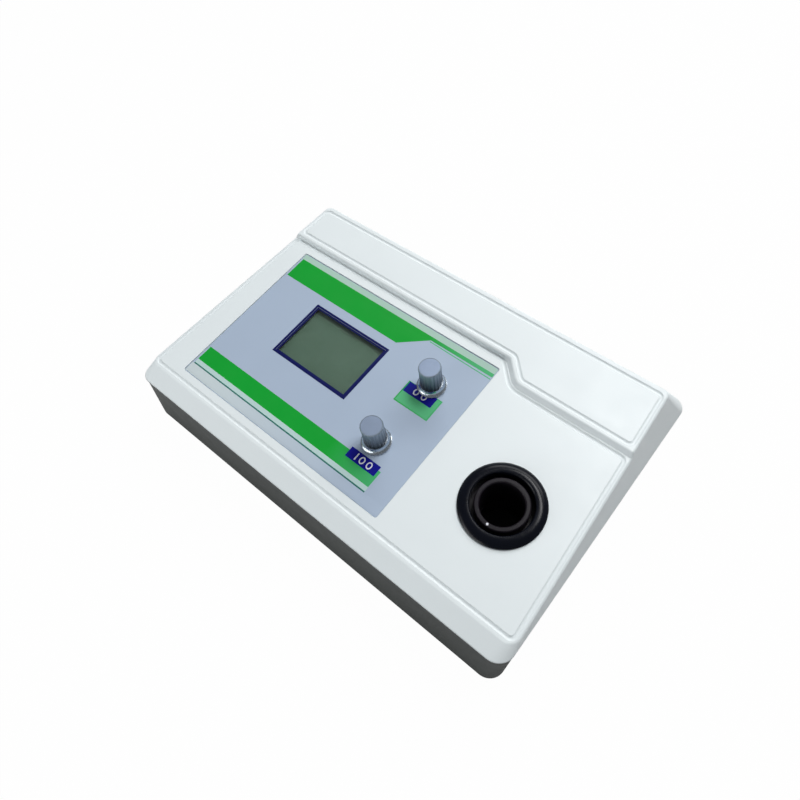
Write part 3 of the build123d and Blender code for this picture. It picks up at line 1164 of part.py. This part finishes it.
with BuildPart() as fuse:
    with Locations(Location((INLET_X, FUSE_Y, FUSE_SEAT + FUSE_RADIUS), (0, 90, 0))):
        Cylinder(FUSE_GLASS_RADIUS, FUSE_LENGTH)
        for side in (-1, 1):
            with Locations((0, 0, side * (FUSE_LENGTH / 2 - FUSE_CAP / 2))):
                Cylinder(FUSE_RADIUS, FUSE_CAP)

# Power switch
with BuildPart() as power_switch:
    with Locations((SWITCH_X, BAY_FLOOR_Y, SWITCH_Z)):
        Box(SWITCH_FLANGE_WIDTH, SWITCH_FLANGE_THICKNESS, SWITCH_FLANGE_HEIGHT,
            align=(Align.CENTER, Align.MIN, Align.CENTER))
        Box(SWITCH_BODY_WIDTH, SWITCH_BODY_DEPTH, SWITCH_BODY_HEIGHT,
            align=(Align.CENTER, Align.MAX, Align.CENTER))
    flange_edges = power_switch.edges().filter_by(Axis.Y).filter_by(lambda e: e.center().Y > BAY_FLOOR_Y)
    fillet(flange_edges, SWITCH_CORNER)
    with Locations((SWITCH_X, BAY_FLOOR_Y + SWITCH_FLANGE_THICKNESS, SWITCH_Z)):
        Box(ROCKER_WIDTH + 2 * ROCKER_GAP, SWITCH_WELL_DEPTH, SWITCH_WELL_HEIGHT,
            align=(Align.CENTER, Align.MAX, Align.CENTER), mode=Mode.SUBTRACT)
    with Locations(Location((SWITCH_X, ROCKER_Y, SWITCH_Z), (0, 90, 0))):
        Cylinder(ROCKER_PIVOT_RADIUS + RUNNING_FIT, ROCKER_WIDTH + 2 * (PIVOT_REACH + ROCKER_GAP),
                 mode=Mode.SUBTRACT)
    for k in (-1, 0, 1):
        with Locations((SWITCH_X, BAY_FLOOR_Y - SWITCH_BODY_DEPTH, SWITCH_Z + k * SWITCH_TAG_PITCH)):
            Box(SWITCH_TAG_WIDTH, SWITCH_TAG_LENGTH, SWITCH_TAG_THICKNESS,
                align=(Align.CENTER, Align.MAX, Align.CENTER))

half_rocker = ROCKER_LENGTH / 2
with BuildPart() as power_rocker:
    with BuildSketch(Plane.YZ.offset(SWITCH_X)):
        with Locations(Location((ROCKER_Y, SWITCH_Z), ROCKER_TILT)):
            Polygon((-ROCKER_BACK, ROCKER_TAPER - half_rocker), (ROCKER_END, -half_rocker),
                    (ROCKER_MIDDLE, 0), (ROCKER_END, half_rocker), (-ROCKER_BACK, half_rocker - ROCKER_TAPER),
                    (-ROCKER_BACK - ROCKER_KEEL, 0), align=None)
    extrude(amount=ROCKER_WIDTH / 2, both=True)
    fillet(power_rocker.edges().filter_by(Axis.X).sort_by(Axis.Y)[-2:], ROCKER_ROUND)
    with Locations(Location((SWITCH_X, ROCKER_Y, SWITCH_Z), (0, 90, 0))):
        Cylinder(ROCKER_PIVOT_RADIUS, ROCKER_WIDTH + 2 * PIVOT_REACH)

# Feet and housing screws
with BuildPart() as rubber_feet:
    with BuildSketch(Plane.XY):
        with Locations(*FEET):
            Circle(FOOT_RADIUS)
    extrude(amount=FOOT_HEIGHT)
    chamfer(rubber_feet.faces().sort_by(Axis.Z)[:4].edges(), FOOT_CHAMFER)
    with BuildSketch(Plane.XY.offset(FOOT_HEIGHT)):
        with Locations(*FEET):
            Circle(FOOT_PLUG_RADIUS)
    extrude(amount=WALL + FOOT_PLUG_END)

with BuildPart() as housing_screws:
    head_top = CASE_SEAT_HEIGHT - CASE_LEDGE
    with BuildSketch(Plane.XY.offset(head_top)):
        with Locations(*CASE_SCREWS):
            Circle(CASE_HEAD_RADIUS)
    extrude(amount=-CASE_HEAD_HEIGHT)
    with BuildSketch(Plane.XY.offset(head_top)):
        with Locations(*CASE_SCREWS):
            Circle(CASE_SCREW_RADIUS)
    extrude(amount=CASE_LEDGE + CASE_SCREW_GRIP)
    with BuildSketch(Plane.XY.offset(head_top - CASE_HEAD_HEIGHT)):
        with Locations(*CASE_SCREWS):
            Rectangle(DRIVE_LENGTH, DRIVE_WIDTH)
            Rectangle(DRIVE_WIDTH, DRIVE_LENGTH)
    extrude(amount=DRIVE_DEPTH, mode=Mode.SUBTRACT)

# Leads


def lead(points, radius):
    """Round lead through the points, with a bend at each."""
    with BuildPart() as body:
        with BuildLine() as line:
            FilletPolyline(*points, radius=LEAD_BEND)
        with BuildSketch(Plane(origin=points[0], z_dir=points[1] - points[0])):
            Circle(radius)
        sweep(path=line.wire())
    return body.part


lead_start = rearward.from_local_coords(Vector(0, 0, half_block + LAMP_HOLDER_LENGTH))
lead_end = Vector(BOARD_RIGHT - BOARD_HEADER_INSET, BOARD_Y, board_top + HEADER_HEIGHT)
lamp_wires = lead([lead_start, lead_start + rearward.z_dir * LEAD_RUN,
                   lead_end + Vector(0, 0, LEAD_RUN), lead_end], LAMP_LEAD_RADIUS)

with BuildPart() as lamp_lead:
    add(lamp_wires)

mains_wires = []
for k in (-1, 1):
    start = Vector(SWITCH_X, BAY_FLOOR_Y - SWITCH_BODY_DEPTH - SWITCH_TAG_LENGTH,
                   SWITCH_Z + k * SWITCH_TAG_PITCH)
    end = Vector(TRANSFORMER_X - CORE_LEG, TRANSFORMER_Y + CORE_DEPTH / 2 + CORE_LEG,
                 strap_base + CORE_HEIGHT / 2 + k * COIL_TAG_PITCH)
    run = Vector(0, LEAD_RUN, 0)
    mains_wires.append(lead([start, start - run, end + run, end], LEAD_RADIUS))

with BuildPart() as mains_leads:
    add(mains_wires)

for name, builder in (
    ("upper_housing", upper_housing),
    ("lower_housing", lower_housing),
    ("panel_overlay", panel_overlay),
    ("display_window", display_window),
    ("display_frame", display_frame),
    ("display_glass", display_glass),
    ("display_backlight", display_backlight),
    ("display_board", display_board),
    ("display_screws", display_screws),
    ("display_header", display_header),
    ("display_ribbon", display_ribbon),
    ("potentiometers", potentiometers),
    ("potentiometer_nuts", potentiometer_nuts),
    ("well_flange", well_flange),
    ("well_nut", well_nut),
    ("cell_holder", cell_holder),
    ("optical_block", optical_block),
    ("block_screws", block_screws),
    ("lamp_lens", lamp_lens),
    ("lamp_holder", lamp_holder),
    ("lamp", lamp),
    ("lamp_lead", lamp_lead),
    ("detectors", detectors),
    ("detector_boards", detector_boards),
    ("detector_screws", detector_screws),
    ("main_board", main_board),
    ("board_screws", board_screws),
    ("processor", processor),
    ("capacitors", capacitors),
    ("regulator", regulator),
    ("heat_sink", heat_sink),
    ("board_headers", board_headers),
    ("transformer_core", transformer_core),
    ("transformer_coil", transformer_coil),
    ("transformer_strap", transformer_strap),
    ("transformer_screws", transformer_screws),
    ("mains_leads", mains_leads),
    ("mains_inlet", mains_inlet),
    ("inlet_pins", inlet_pins),
    ("fuse_drawer", fuse_drawer),
    ("fuse", fuse),
    ("power_switch", power_switch),
    ("power_rocker", power_rocker),
    ("rubber_feet", rubber_feet),
    ("housing_screws", housing_screws),
):
    finish(builder, name)
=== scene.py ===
"""Looks of the benchtop turbidity meter: materials, panel prints, camera and light. Metres."""

import json
from math import cos, pi, radians, sin

import bpy
from mathutils import Matrix, Vector


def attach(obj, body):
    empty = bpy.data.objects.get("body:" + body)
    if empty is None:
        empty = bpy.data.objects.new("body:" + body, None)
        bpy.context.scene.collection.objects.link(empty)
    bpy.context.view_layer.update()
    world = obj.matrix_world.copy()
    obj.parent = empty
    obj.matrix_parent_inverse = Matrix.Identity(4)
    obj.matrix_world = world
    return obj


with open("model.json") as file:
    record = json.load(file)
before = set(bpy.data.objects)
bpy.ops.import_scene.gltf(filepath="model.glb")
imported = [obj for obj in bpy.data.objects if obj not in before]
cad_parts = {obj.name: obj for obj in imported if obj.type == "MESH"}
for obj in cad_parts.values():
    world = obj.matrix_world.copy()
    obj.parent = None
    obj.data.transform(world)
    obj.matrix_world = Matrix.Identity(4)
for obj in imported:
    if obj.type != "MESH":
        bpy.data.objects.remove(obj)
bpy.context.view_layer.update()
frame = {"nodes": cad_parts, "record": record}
nodes = frame["nodes"]

SLOPE = radians(10.0)
FRONT_HEIGHT = 63.803
NORMAL = Vector((0.0, -sin(SLOPE), cos(SLOPE)))
ACROSS = Vector((1.0, 0.0, 0.0))
OVERLAY_TOP = -0.5


def on_slope(x, s, w=0.0):
    """Point x along the front area, s up its slope and w above it, all in millimetres."""
    y = s * cos(SLOPE) - w * sin(SLOPE)
    z = FRONT_HEIGHT + s * sin(SLOPE) + w * cos(SLOPE)
    return Vector((x, y, z)) / 1000


# Materials

def new_material(name):
    """Empty node material with a shader and object coordinates."""
    mat = bpy.data.materials.new(name)
    mat.use_nodes = True
    tree = mat.node_tree
    tree.nodes.clear()
    out = tree.nodes.new("ShaderNodeOutputMaterial")
    shader = tree.nodes.new("ShaderNodeBsdfPrincipled")
    tree.links.new(shader.outputs["BSDF"], out.inputs["Surface"])
    coords = tree.nodes.new("ShaderNodeTexCoord")
    return mat, tree, shader, coords.outputs["Object"], out


def noise(tree, coords, scale, detail=3.0, stretch=None):
    """Noise of so many cells a metre."""
    if stretch:
        mapping = tree.nodes.new("ShaderNodeMapping")
        mapping.inputs["Scale"].default_value = stretch
        tree.links.new(coords, mapping.inputs["Vector"])
        coords = mapping.outputs["Vector"]
    node = tree.nodes.new("ShaderNodeTexNoise")
    node.inputs["Scale"].default_value = scale
    node.inputs["Detail"].default_value = detail
    tree.links.new(coords, node.inputs["Vector"])
    return node.outputs["Fac"]


def ranged(tree, value, low, high):
    """Value from 0.3 to 0.7 mapped to low and high."""
    node = tree.nodes.new("ShaderNodeMapRange")
    node.inputs["From Min"].default_value = 0.3
    node.inputs["From Max"].default_value = 0.7
    node.inputs["To Min"].default_value = low
    node.inputs["To Max"].default_value = high
    tree.links.new(value, node.inputs["Value"])
    return node.outputs["Result"]


def mixed(tree, factor, a, b):
    """Colour between a and b."""
    node = tree.nodes.new("ShaderNodeMix")
    node.data_type = "RGBA"
    tree.links.new(factor, node.inputs["Factor"])
    for socket, colour in ((node.inputs["A"], a), (node.inputs["B"], b)):
        if isinstance(colour, (tuple, list)):
            socket.default_value = (*colour[:3], 1.0)
        else:
            tree.links.new(colour, socket)
    return node.outputs["Result"]


def along(tree, coords, direction, start, end):
    """From 0 to 1 between two distances along a direction."""
    product = tree.nodes.new("ShaderNodeVectorMath")
    product.operation = "DOT_PRODUCT"
    product.inputs[1].default_value = direction
    tree.links.new(coords, product.inputs[0])
    node = tree.nodes.new("ShaderNodeMapRange")
    node.inputs["From Min"].default_value = start
    node.inputs["From Max"].default_value = end
    tree.links.new(product.outputs["Value"], node.inputs["Value"])
    return node.outputs["Result"]


def varied(tree, coords, colour, vary, patch, small):
    """Colour with soft patches and fine specks."""
    large = noise(tree, coords, patch, 4.0)
    dark = tuple(c * (1 - vary) for c in colour)
    light = tuple(min(1.0, c * (1 + vary)) for c in colour)
    tone = mixed(tree, ranged(tree, large, 0.0, 1.0), dark, light)
    speck = tuple(min(1.0, c * (1 + 1.5 * vary)) for c in colour)
    return mixed(tree, ranged(tree, small, 0.0, 0.35), tone, speck)


def surface(name, colour, roughness, metallic=0.0, vary=0.04, patch=18.0, grain=900.0,
            grain_depth=0.00004, rough_vary=0.06, stretch=None, coat=0.0, edge=0.0, specular=0.5,
            fade=None):
    """Material whose colour, roughness and relief vary as a real surface does. It may fade to
    another colour, between two distances in a direction."""
    mat, tree, shader, coords, out = new_material(name)
    small = noise(tree, coords, grain, 2.0, stretch)
    tone = varied(tree, coords, colour, vary, patch, small)
    if fade:
        other, direction, start, end = fade
        part = along(tree, coords, direction, start, end)
        tone = mixed(tree, part, tone, varied(tree, coords, other, vary, patch, small))
    tree.links.new(tone, shader.inputs["Base Color"])
    wear = noise(tree, coords, patch * 6, 5.0)
    worn = ranged(tree, wear, roughness - rough_vary, roughness + rough_vary)
    tree.links.new(worn, shader.inputs["Roughness"])
    shader.inputs["Metallic"].default_value = metallic
    shader.inputs["Specular IOR Level"].default_value = specular
    shader.inputs["Coat Weight"].default_value = coat
    shader.inputs["Coat Roughness"].default_value = 0.08
    bump = tree.nodes.new("ShaderNodeBump")
    bump.inputs["Strength"].default_value = 0.6
    bump.inputs["Distance"].default_value = grain_depth
    tree.links.new(small, bump.inputs["Height"])
    if edge:
        rounding = tree.nodes.new("ShaderNodeBevel")
        rounding.samples = 4
        rounding.inputs["Radius"].default_value = edge
        tree.links.new(rounding.outputs["Normal"], bump.inputs["Normal"])
    tree.links.new(bump.outputs["Normal"], shader.inputs["Normal"])
    return mat


def printed(name, colour, vary=0.03, fade=None):
    """Satin ink."""
    return surface(name, colour, 0.4, vary=vary, grain=2600, grain_depth=0.00002, specular=0.2,
                   fade=fade)


def clear(name, tint, roughness):
    """Clear pane or lens that lets shadow rays through."""
    mat, tree, shader, coords, out = new_material(name)
    smudge = noise(tree, coords, 40.0, 5.0)
    tree.links.new(ranged(tree, smudge, roughness, roughness + 0.05), shader.inputs["Roughness"])
    shader.inputs["Base Color"].default_value = (*tint, 1.0)
    shader.inputs["Transmission Weight"].default_value = 1.0
    shader.inputs["IOR"].default_value = 1.49
    path = tree.nodes.new("ShaderNodeLightPath")
    through = tree.nodes.new("ShaderNodeBsdfTransparent")
    through.inputs["Color"].default_value = (*tint, 1.0)
    mix = tree.nodes.new("ShaderNodeMixShader")
    tree.links.new(path.outputs["Is Shadow Ray"], mix.inputs["Fac"])
    tree.links.new(shader.outputs["BSDF"], mix.inputs[1])
    tree.links.new(through.outputs["BSDF"], mix.inputs[2])
    tree.links.new(mix.outputs["Shader"], out.inputs["Surface"])
    return mat


# Distances along the normal at which the knobs' painted shade starts and ends: darker at the foot,
# lighter towards the top
KNOB_DARK = (FRONT_HEIGHT * cos(SLOPE) + 6.0) / 1000
KNOB_LIGHT = (FRONT_HEIGHT * cos(SLOPE) + 19.0) / 1000

MATERIALS = {
    "white_shell": surface("white_shell", (0.83, 0.892, 0.906), 0.42, vary=0.012, patch=14, grain=1400,
                           edge=0.0005),
    "dark_shell": surface("dark_shell", (0.080, 0.086, 0.083), 0.6, vary=0.10, grain=1100,
                          grain_depth=0.00012),
    "overlay": surface("overlay", (0.42, 0.51, 0.64), 0.38, vary=0.02, grain=2600, grain_depth=0.00002,
                       specular=0.3),
    "window": clear("window", (0.92, 0.97, 0.94), 0.0),
    "display": surface("display", (0.055, 0.088, 0.066), 0.4, vary=0.01, patch=20, grain=3000,
                       grain_depth=0.000005, specular=0.3),
    "diffuser": surface("diffuser", (0.75, 0.75, 0.70), 0.5),
    "black_plastic": surface("black_plastic", (0.018, 0.018, 0.020), 0.42, vary=0.15, grain=1500,
                             edge=0.0003),
    "board": surface("board", (0.012, 0.11, 0.04), 0.35, vary=0.12, patch=90, coat=0.4),
    "zinc_steel": surface("zinc_steel", (0.55, 0.55, 0.52), 0.35, metallic=1.0, vary=0.08, patch=120),
    "header_plastic": surface("header_plastic", (0.70, 0.66, 0.55), 0.45),
    "ribbon": surface("ribbon", (0.33, 0.34, 0.36), 0.5, vary=0.15, grain=800, stretch=(1, 0.02, 0.02)),
    "pot_metal": surface("pot_metal", (0.55, 0.56, 0.57), 0.3, metallic=1.0, vary=0.06, patch=80),
    "chrome": surface("chrome", (0.55, 0.61, 0.67), 0.26, metallic=1.0, vary=0.04, patch=60,
                      rough_vary=0.04),
    "gloss_black": surface("gloss_black", (0.003, 0.004, 0.008), 0.24, vary=0.2, patch=60, grain=500,
                           grain_depth=0.00001, rough_vary=0.03, specular=0.18),
    "satin_black": surface("satin_black", (0.012, 0.010, 0.014), 0.36, vary=0.2, patch=80, grain=1600,
                           stretch=(1, 1, 0.1), edge=0.0003, specular=0.2),
    "optic_glass": clear("optic_glass", (0.95, 0.97, 0.96), 0.02),
    "brass": surface("brass", (0.60, 0.43, 0.18), 0.28, metallic=1.0, vary=0.08, patch=100),
    "lead": surface("lead", (0.03, 0.03, 0.035), 0.5),
    "mains_lead": surface("mains_lead", (0.20, 0.05, 0.03), 0.5),
    "capacitor": surface("capacitor", (0.015, 0.02, 0.09), 0.3, coat=0.3),
    "heat_sink": surface("heat_sink", (0.03, 0.03, 0.035), 0.45, metallic=0.6),
    "core_steel": surface("core_steel", (0.16, 0.16, 0.17), 0.45, metallic=0.9, vary=0.2, grain=2000,
                          stretch=(0.02, 1, 0.02), grain_depth=0.0001),
    "coil": surface("coil", (0.62, 0.46, 0.06), 0.3, vary=0.1, coat=0.4),
    "rocker": surface("rocker", (0.012, 0.012, 0.014), 0.25, vary=0.15, grain=1200, edge=0.0003),
    "rubber": surface("rubber", (0.02, 0.02, 0.02), 0.75, vary=0.2, grain=1000, grain_depth=0.0001),
    # Knob bodies: painted shade, the metal's colour fades from dark at the foot to lighter towards the
    # top
    "knob_metal": surface("knob_metal", (0.035, 0.048, 0.065), 0.36, metallic=0.5, vary=0.06, patch=150,
                          rough_vary=0.04, fade=((0.28, 0.34, 0.41), NORMAL, KNOB_DARK, KNOB_LIGHT)),
    "cap_metal": surface("cap_metal", (0.31, 0.385, 0.52), 0.42, metallic=0.6, vary=0.04, patch=150,
                         grain=3000, rough_vary=0.05),
}
PRINTS = {
    "print_green": printed("print_green", (0.006, 0.36, 0.034), vary=0.05,
                           fade=((0.07, 0.46, 0.17), ACROSS, -0.005, 0.034)),
    "print_mint": printed("print_mint", (0.10, 0.50, 0.22), vary=0.05),
    "rear_margin_grey_green": printed("rear_margin_grey_green", (0.42, 0.61, 0.52)),
    "print_border": printed("print_border", (0.003, 0.006, 0.09), vary=0.06),
    "print_navy": printed("print_navy", (0.002, 0.003, 0.25), vary=0.06),
    "print_teal": printed("print_teal", (0.022, 0.16, 0.13), vary=0.05),
    "print_light": printed("print_light", (0.50, 0.68, 0.66)),
    # Painted sheen: pale grey at the left of the overlay's front margin, fading to the overlay's own
    # colour to the right
    "print_painted_sheen": printed("print_painted_sheen", (0.60, 0.68, 0.70),
                          fade=((0.43, 0.52, 0.65), ACROSS, -0.10, 0.03)),
    "print_white": printed("print_white", (0.80, 0.82, 0.88), vary=0.02),
}

slot_of = {part["node"]: part["material_slot"] for part in frame["record"]["subparts"]}
for name, obj in nodes.items():
    obj.data.materials.clear()
    obj.data.materials.append(MATERIALS[slot_of[name]])


# Printed pieces, in millimetres on the slope

LEFT, RIGHT, REAR = -118.4, 45.6, 26.6
MARGIN_LEFT = -119.4
BAND_BEND = -1.5            # where the rear band reaches its narrow part
LABEL_LEFT = 6.8
DISPLAY_X, DISPLAY_S = -50.4, -19.1
FILM = 0.04                 # thickness of a print
BOX_LOW = OVERLAY_TOP + 0.04
MARK_LOW = OVERLAY_TOP + 0.08


def ring(cx, cy, rx, ry, count=40):
    """Points round an ellipse."""
    turns = [2 * pi * i / count for i in range(count)]
    return [(cx + rx * cos(turn), cy + ry * sin(turn)) for turn in turns]


def oblong(x0, s0, x1, s1):
    """Four corners."""
    return [(x0, s0), (x1, s0), (x1, s1), (x0, s1)]


def centred(half_x, half_s):
    """Four corners round the middle of the display."""
    return oblong(DISPLAY_X - half_x, DISPLAY_S - half_s, DISPLAY_X + half_x, DISPLAY_S + half_s)


def nought(x, s):
    """Digit 0."""
    return (ring(x, s, 1.9, 2.4), ring(x, s, 1.1, 1.6))


def layer(name, shapes, ink, body="housing", place=on_slope, low=OVERLAY_TOP):
    """Thin printed film. Each shape is an outline, or an outline and the hole in it with as many
    points."""
    verts, faces = [], []
    for shape in shapes:
        outline, hole = shape if isinstance(shape, tuple) else (shape, None)
        n = len(outline)
        first = len(verts)
        loops = [outline, hole] if hole else [outline]
        for loop in loops:
            for w in (low, low + FILM):
                verts += [place(a, b, w) for a, b in loop]
        at = [first + n * k for k in range(2 * len(loops))]
        for i in range(n):
            j = (i + 1) % n
            faces.append((at[0] + i, at[0] + j, at[1] + j, at[1] + i))
            if hole:
                faces.append((at[3] + i, at[3] + j, at[2] + j, at[2] + i))
                faces.append((at[1] + i, at[1] + j, at[3] + j, at[3] + i))
                faces.append((at[0] + j, at[0] + i, at[2] + i, at[2] + j))
        if not hole:
            faces.append(tuple(at[1] + i for i in range(n)))
            faces.append(tuple(at[0] + i for i in reversed(range(n))))
    mesh = bpy.data.meshes.new(name)
    mesh.from_pydata(verts, [], faces)
    mesh.validate()
    obj = bpy.data.objects.new(name, mesh)
    bpy.context.scene.collection.objects.link(obj)
    mesh.materials.append(PRINTS[ink])
    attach(obj, body)


# Bands and lines, then the display's border, then the label boxes with their marks
layer("print_rear_band", [
    [(LEFT, 9.8), (-18.9, 9.8), (BAND_BEND, 24.0), (RIGHT, 24.0), (RIGHT, REAR), (LEFT, REAR)],
], "print_green")
layer("print_rear_line", [
    [(BAND_BEND, 22.6), (RIGHT, 22.0), (RIGHT, 22.7), (BAND_BEND, 23.3)],
], "print_mint")
# Pale grey-green band between the rear band and the edge of the recess
layer("rear_margin_band", [oblong(MARGIN_LEFT, REAR, RIGHT, 30.9)], "rear_margin_grey_green")
layer("print_front_band", [oblong(LEFT, -75.4, 30.8, -64.1)], "print_green")
layer("print_front_line", [oblong(LEFT, -79.3, 31.0, -78.4)], "print_teal")
layer("print_front_gap", [oblong(LEFT, -78.4, 30.9, -75.4)], "print_light")
# Overlay's front margin in its own colour, with a painted sheen that is pale at the left
layer("front_margin_painted_sheen", [oblong(MARGIN_LEFT, -86.2, RIGHT, -79.3)], "print_painted_sheen")
layer("print_display_border", [(centred(31.75, 22.25), centred(30.15, 20.65))], "print_border")
layer("print_display_mask", [(centred(30.1, 20.6), centred(28.9, 19.5))], "print_border",
      low=-1.0)
layer("print_zero_patch", [
    (oblong(6.0, -23.0, 31.7, -7.0), oblong(LABEL_LEFT, -22.2, 30.9, -7.8)),
], "print_green")
layer("print_zero_field", [oblong(LABEL_LEFT, -22.2, 30.9, -7.8)], "print_mint")
layer("print_zero_box", [oblong(LABEL_LEFT, -14.8, 28.0, -7.2)], "print_navy", low=BOX_LOW)
layer("print_cal_box", [oblong(LABEL_LEFT, -68.6, 29.0, -61.6)], "print_navy", low=BOX_LOW)
layer("print_zero_mark", [nought(14.6, -11.0), nought(20.6, -11.0)], "print_white", low=MARK_LOW)
layer("print_cal_mark", [
    oblong(12.6, -67.4, 13.5, -62.7),
    nought(17.4, -65.1),
    nought(22.8, -65.1),
], "print_white", low=MARK_LOW)

# Small white dot on the rim of the cell holder
WELL_X, WELL_S = 96.8, -38.8
DOT_DISTANCE = 13.9
layer("well_dot", [ring(WELL_X, WELL_S - DOT_DISTANCE, 0.75, 0.75, 20)], "print_white",
      low=1.6)


# Rocker marks
ROCKER_PIVOT = Vector((-0.046, 0.097, 0.0236))
ROCKER_SLANT = radians(12.0)
FACE_MIDDLE, FACE_END = 3.0, 4.5      # heights of the face over the pivot
HALF_FACE = 8.3


def on_rocker(side):
    """Gives the place on one half of the rocker's face, a across and b from its middle towards
    its end."""
    lift = (FACE_END - FACE_MIDDLE) / HALF_FACE

    def place(a, b, w):
        y, z = FACE_MIDDLE + lift * b + w, side * b
        turned_y = y * cos(ROCKER_SLANT) - z * sin(ROCKER_SLANT)
        turned_z = y * sin(ROCKER_SLANT) + z * cos(ROCKER_SLANT)
        return ROCKER_PIVOT + Vector((a * side, turned_y, turned_z)) / 1000
    return place


layer("rocker_off_mark", [(ring(0, 5.0, 1.5, 1.5), ring(0, 5.0, 1.0, 1.0))], "print_white",
      "power_rocker", on_rocker(1), low=0.0)
layer("rocker_on_mark", [oblong(-0.3, 3.4, 0.3, 6.6)], "print_white", "power_rocker",
      on_rocker(-1), low=0.0)


# Floor, light and camera

def stage_material(name, colour, shown):
    """Material of the floor: white to the camera, with the shadow kept."""
    mat, tree, shader, coords, out = new_material(name)
    tone = noise(tree, coords, 3.0, 2.0)
    tree.links.new(mixed(tree, ranged(tree, tone, 0.0, 1.0), tuple(c * 0.99 for c in colour), colour),
                   shader.inputs["Base Color"])
    shader.inputs["Roughness"].default_value = 0.9
    shader.inputs["Specular IOR Level"].default_value = 0.1
    path = tree.nodes.new("ShaderNodeLightPath")
    strength = tree.nodes.new("ShaderNodeMath")
    strength.operation = "MULTIPLY"
    strength.inputs[1].default_value = shown
    seen = tree.nodes.new("ShaderNodeMath")
    seen.operation = "MAXIMUM"
    tree.links.new(path.outputs["Is Camera Ray"], seen.inputs[0])
    tree.links.new(path.outputs["Is Transmission Ray"], seen.inputs[1])
    tree.links.new(seen.outputs["Value"], strength.inputs[0])
    glow = tree.nodes.new("ShaderNodeEmission")
    mix = tree.nodes.new("ShaderNodeMixShader")
    tree.links.new(strength.outputs["Value"], mix.inputs["Fac"])
    tree.links.new(shader.outputs["BSDF"], mix.inputs[1])
    tree.links.new(glow.outputs["Emission"], mix.inputs[2])
    tree.links.new(mix.outputs["Shader"], out.inputs["Surface"])
    return mat


floor_mesh = bpy.data.meshes.new("floor")
HALF_FLOOR = 6
floor_corners = [(x, y, 0) for x, y in oblong(-HALF_FLOOR, -HALF_FLOOR, HALF_FLOOR, HALF_FLOOR)]
floor_mesh.from_pydata(floor_corners, [], [(0, 1, 2, 3)])
floor = bpy.data.objects.new("floor", floor_mesh)
bpy.context.scene.collection.objects.link(floor)
floor_mesh.materials.append(stage_material("floor", (0.60, 0.60, 0.60), 0.985))

world = bpy.context.scene.world or bpy.data.worlds.new("world")
bpy.context.scene.world = world
world.use_nodes = True
tree = world.node_tree
tree.nodes.clear()
output = tree.nodes.new("ShaderNodeOutputWorld")
dim = tree.nodes.new("ShaderNodeBackground")
dim.inputs["Color"].default_value = (0.93, 0.96, 1.0, 1.0)
dim.inputs["Strength"].default_value = 0.18
white = tree.nodes.new("ShaderNodeBackground")
white.inputs["Color"].default_value = (1.0, 1.0, 1.0, 1.0)
path = tree.nodes.new("ShaderNodeLightPath")
mix = tree.nodes.new("ShaderNodeMixShader")
tree.links.new(path.outputs["Is Camera Ray"], mix.inputs["Fac"])
tree.links.new(dim.outputs["Background"], mix.inputs[1])
tree.links.new(white.outputs["Background"], mix.inputs[2])
tree.links.new(mix.outputs["Shader"], output.inputs["Surface"])


OBJECT_MIDDLE = (0, 0, 0.04)
STRIP_TARGET = (0.04, -0.03, 0.06)


def lamp(name, place, target, size, power):
    """Soft white rectangular lamp."""
    light = bpy.data.lights.new(name, "AREA")
    light.shape = "RECTANGLE"
    light.size, light.size_y = size
    light.energy = power
    obj = bpy.data.objects.new(name, light)
    obj.location = place
    obj.rotation_euler = (Vector(target) - Vector(place)).to_track_quat("-Z", "Y").to_euler()
    bpy.context.scene.collection.objects.link(obj)


lamp("rear", (-0.45, 2.1, 2.1), OBJECT_MIDDLE, (3.2, 1.0), 44)
lamp("front", (-0.25, -1.1, 0.08), OBJECT_MIDDLE, (0.9, 0.14), 2.6)
lamp("fill", (-0.29, -0.51, 0.14), OBJECT_MIDDLE, (0.3, 0.15), 0.35)
lamp("strip", (0.18, 0.41, 1.30), STRIP_TARGET, (0.7, 0.3), 9.0)

camera_data = bpy.data.cameras.new("camera")
camera_data.sensor_fit = "HORIZONTAL"
camera_data.sensor_width = 36.0
camera_data.lens = 27.80
camera = bpy.data.objects.new("camera", camera_data)
right = Vector((0.76843, 0.63994, 0.00058))
down = Vector((0.51501, -0.61788, -0.59413))
forward = Vector((-0.37985, 0.45685, -0.80437))
pose = Matrix((right, -down, -forward)).transposed().to_4x4()
pose.translation = (0.15229, -0.19198, 0.36132)
camera.matrix_world = pose
bpy.context.scene.collection.objects.link(camera)
bpy.context.scene.camera = camera
bpy.context.scene.view_settings.view_transform = "Standard"
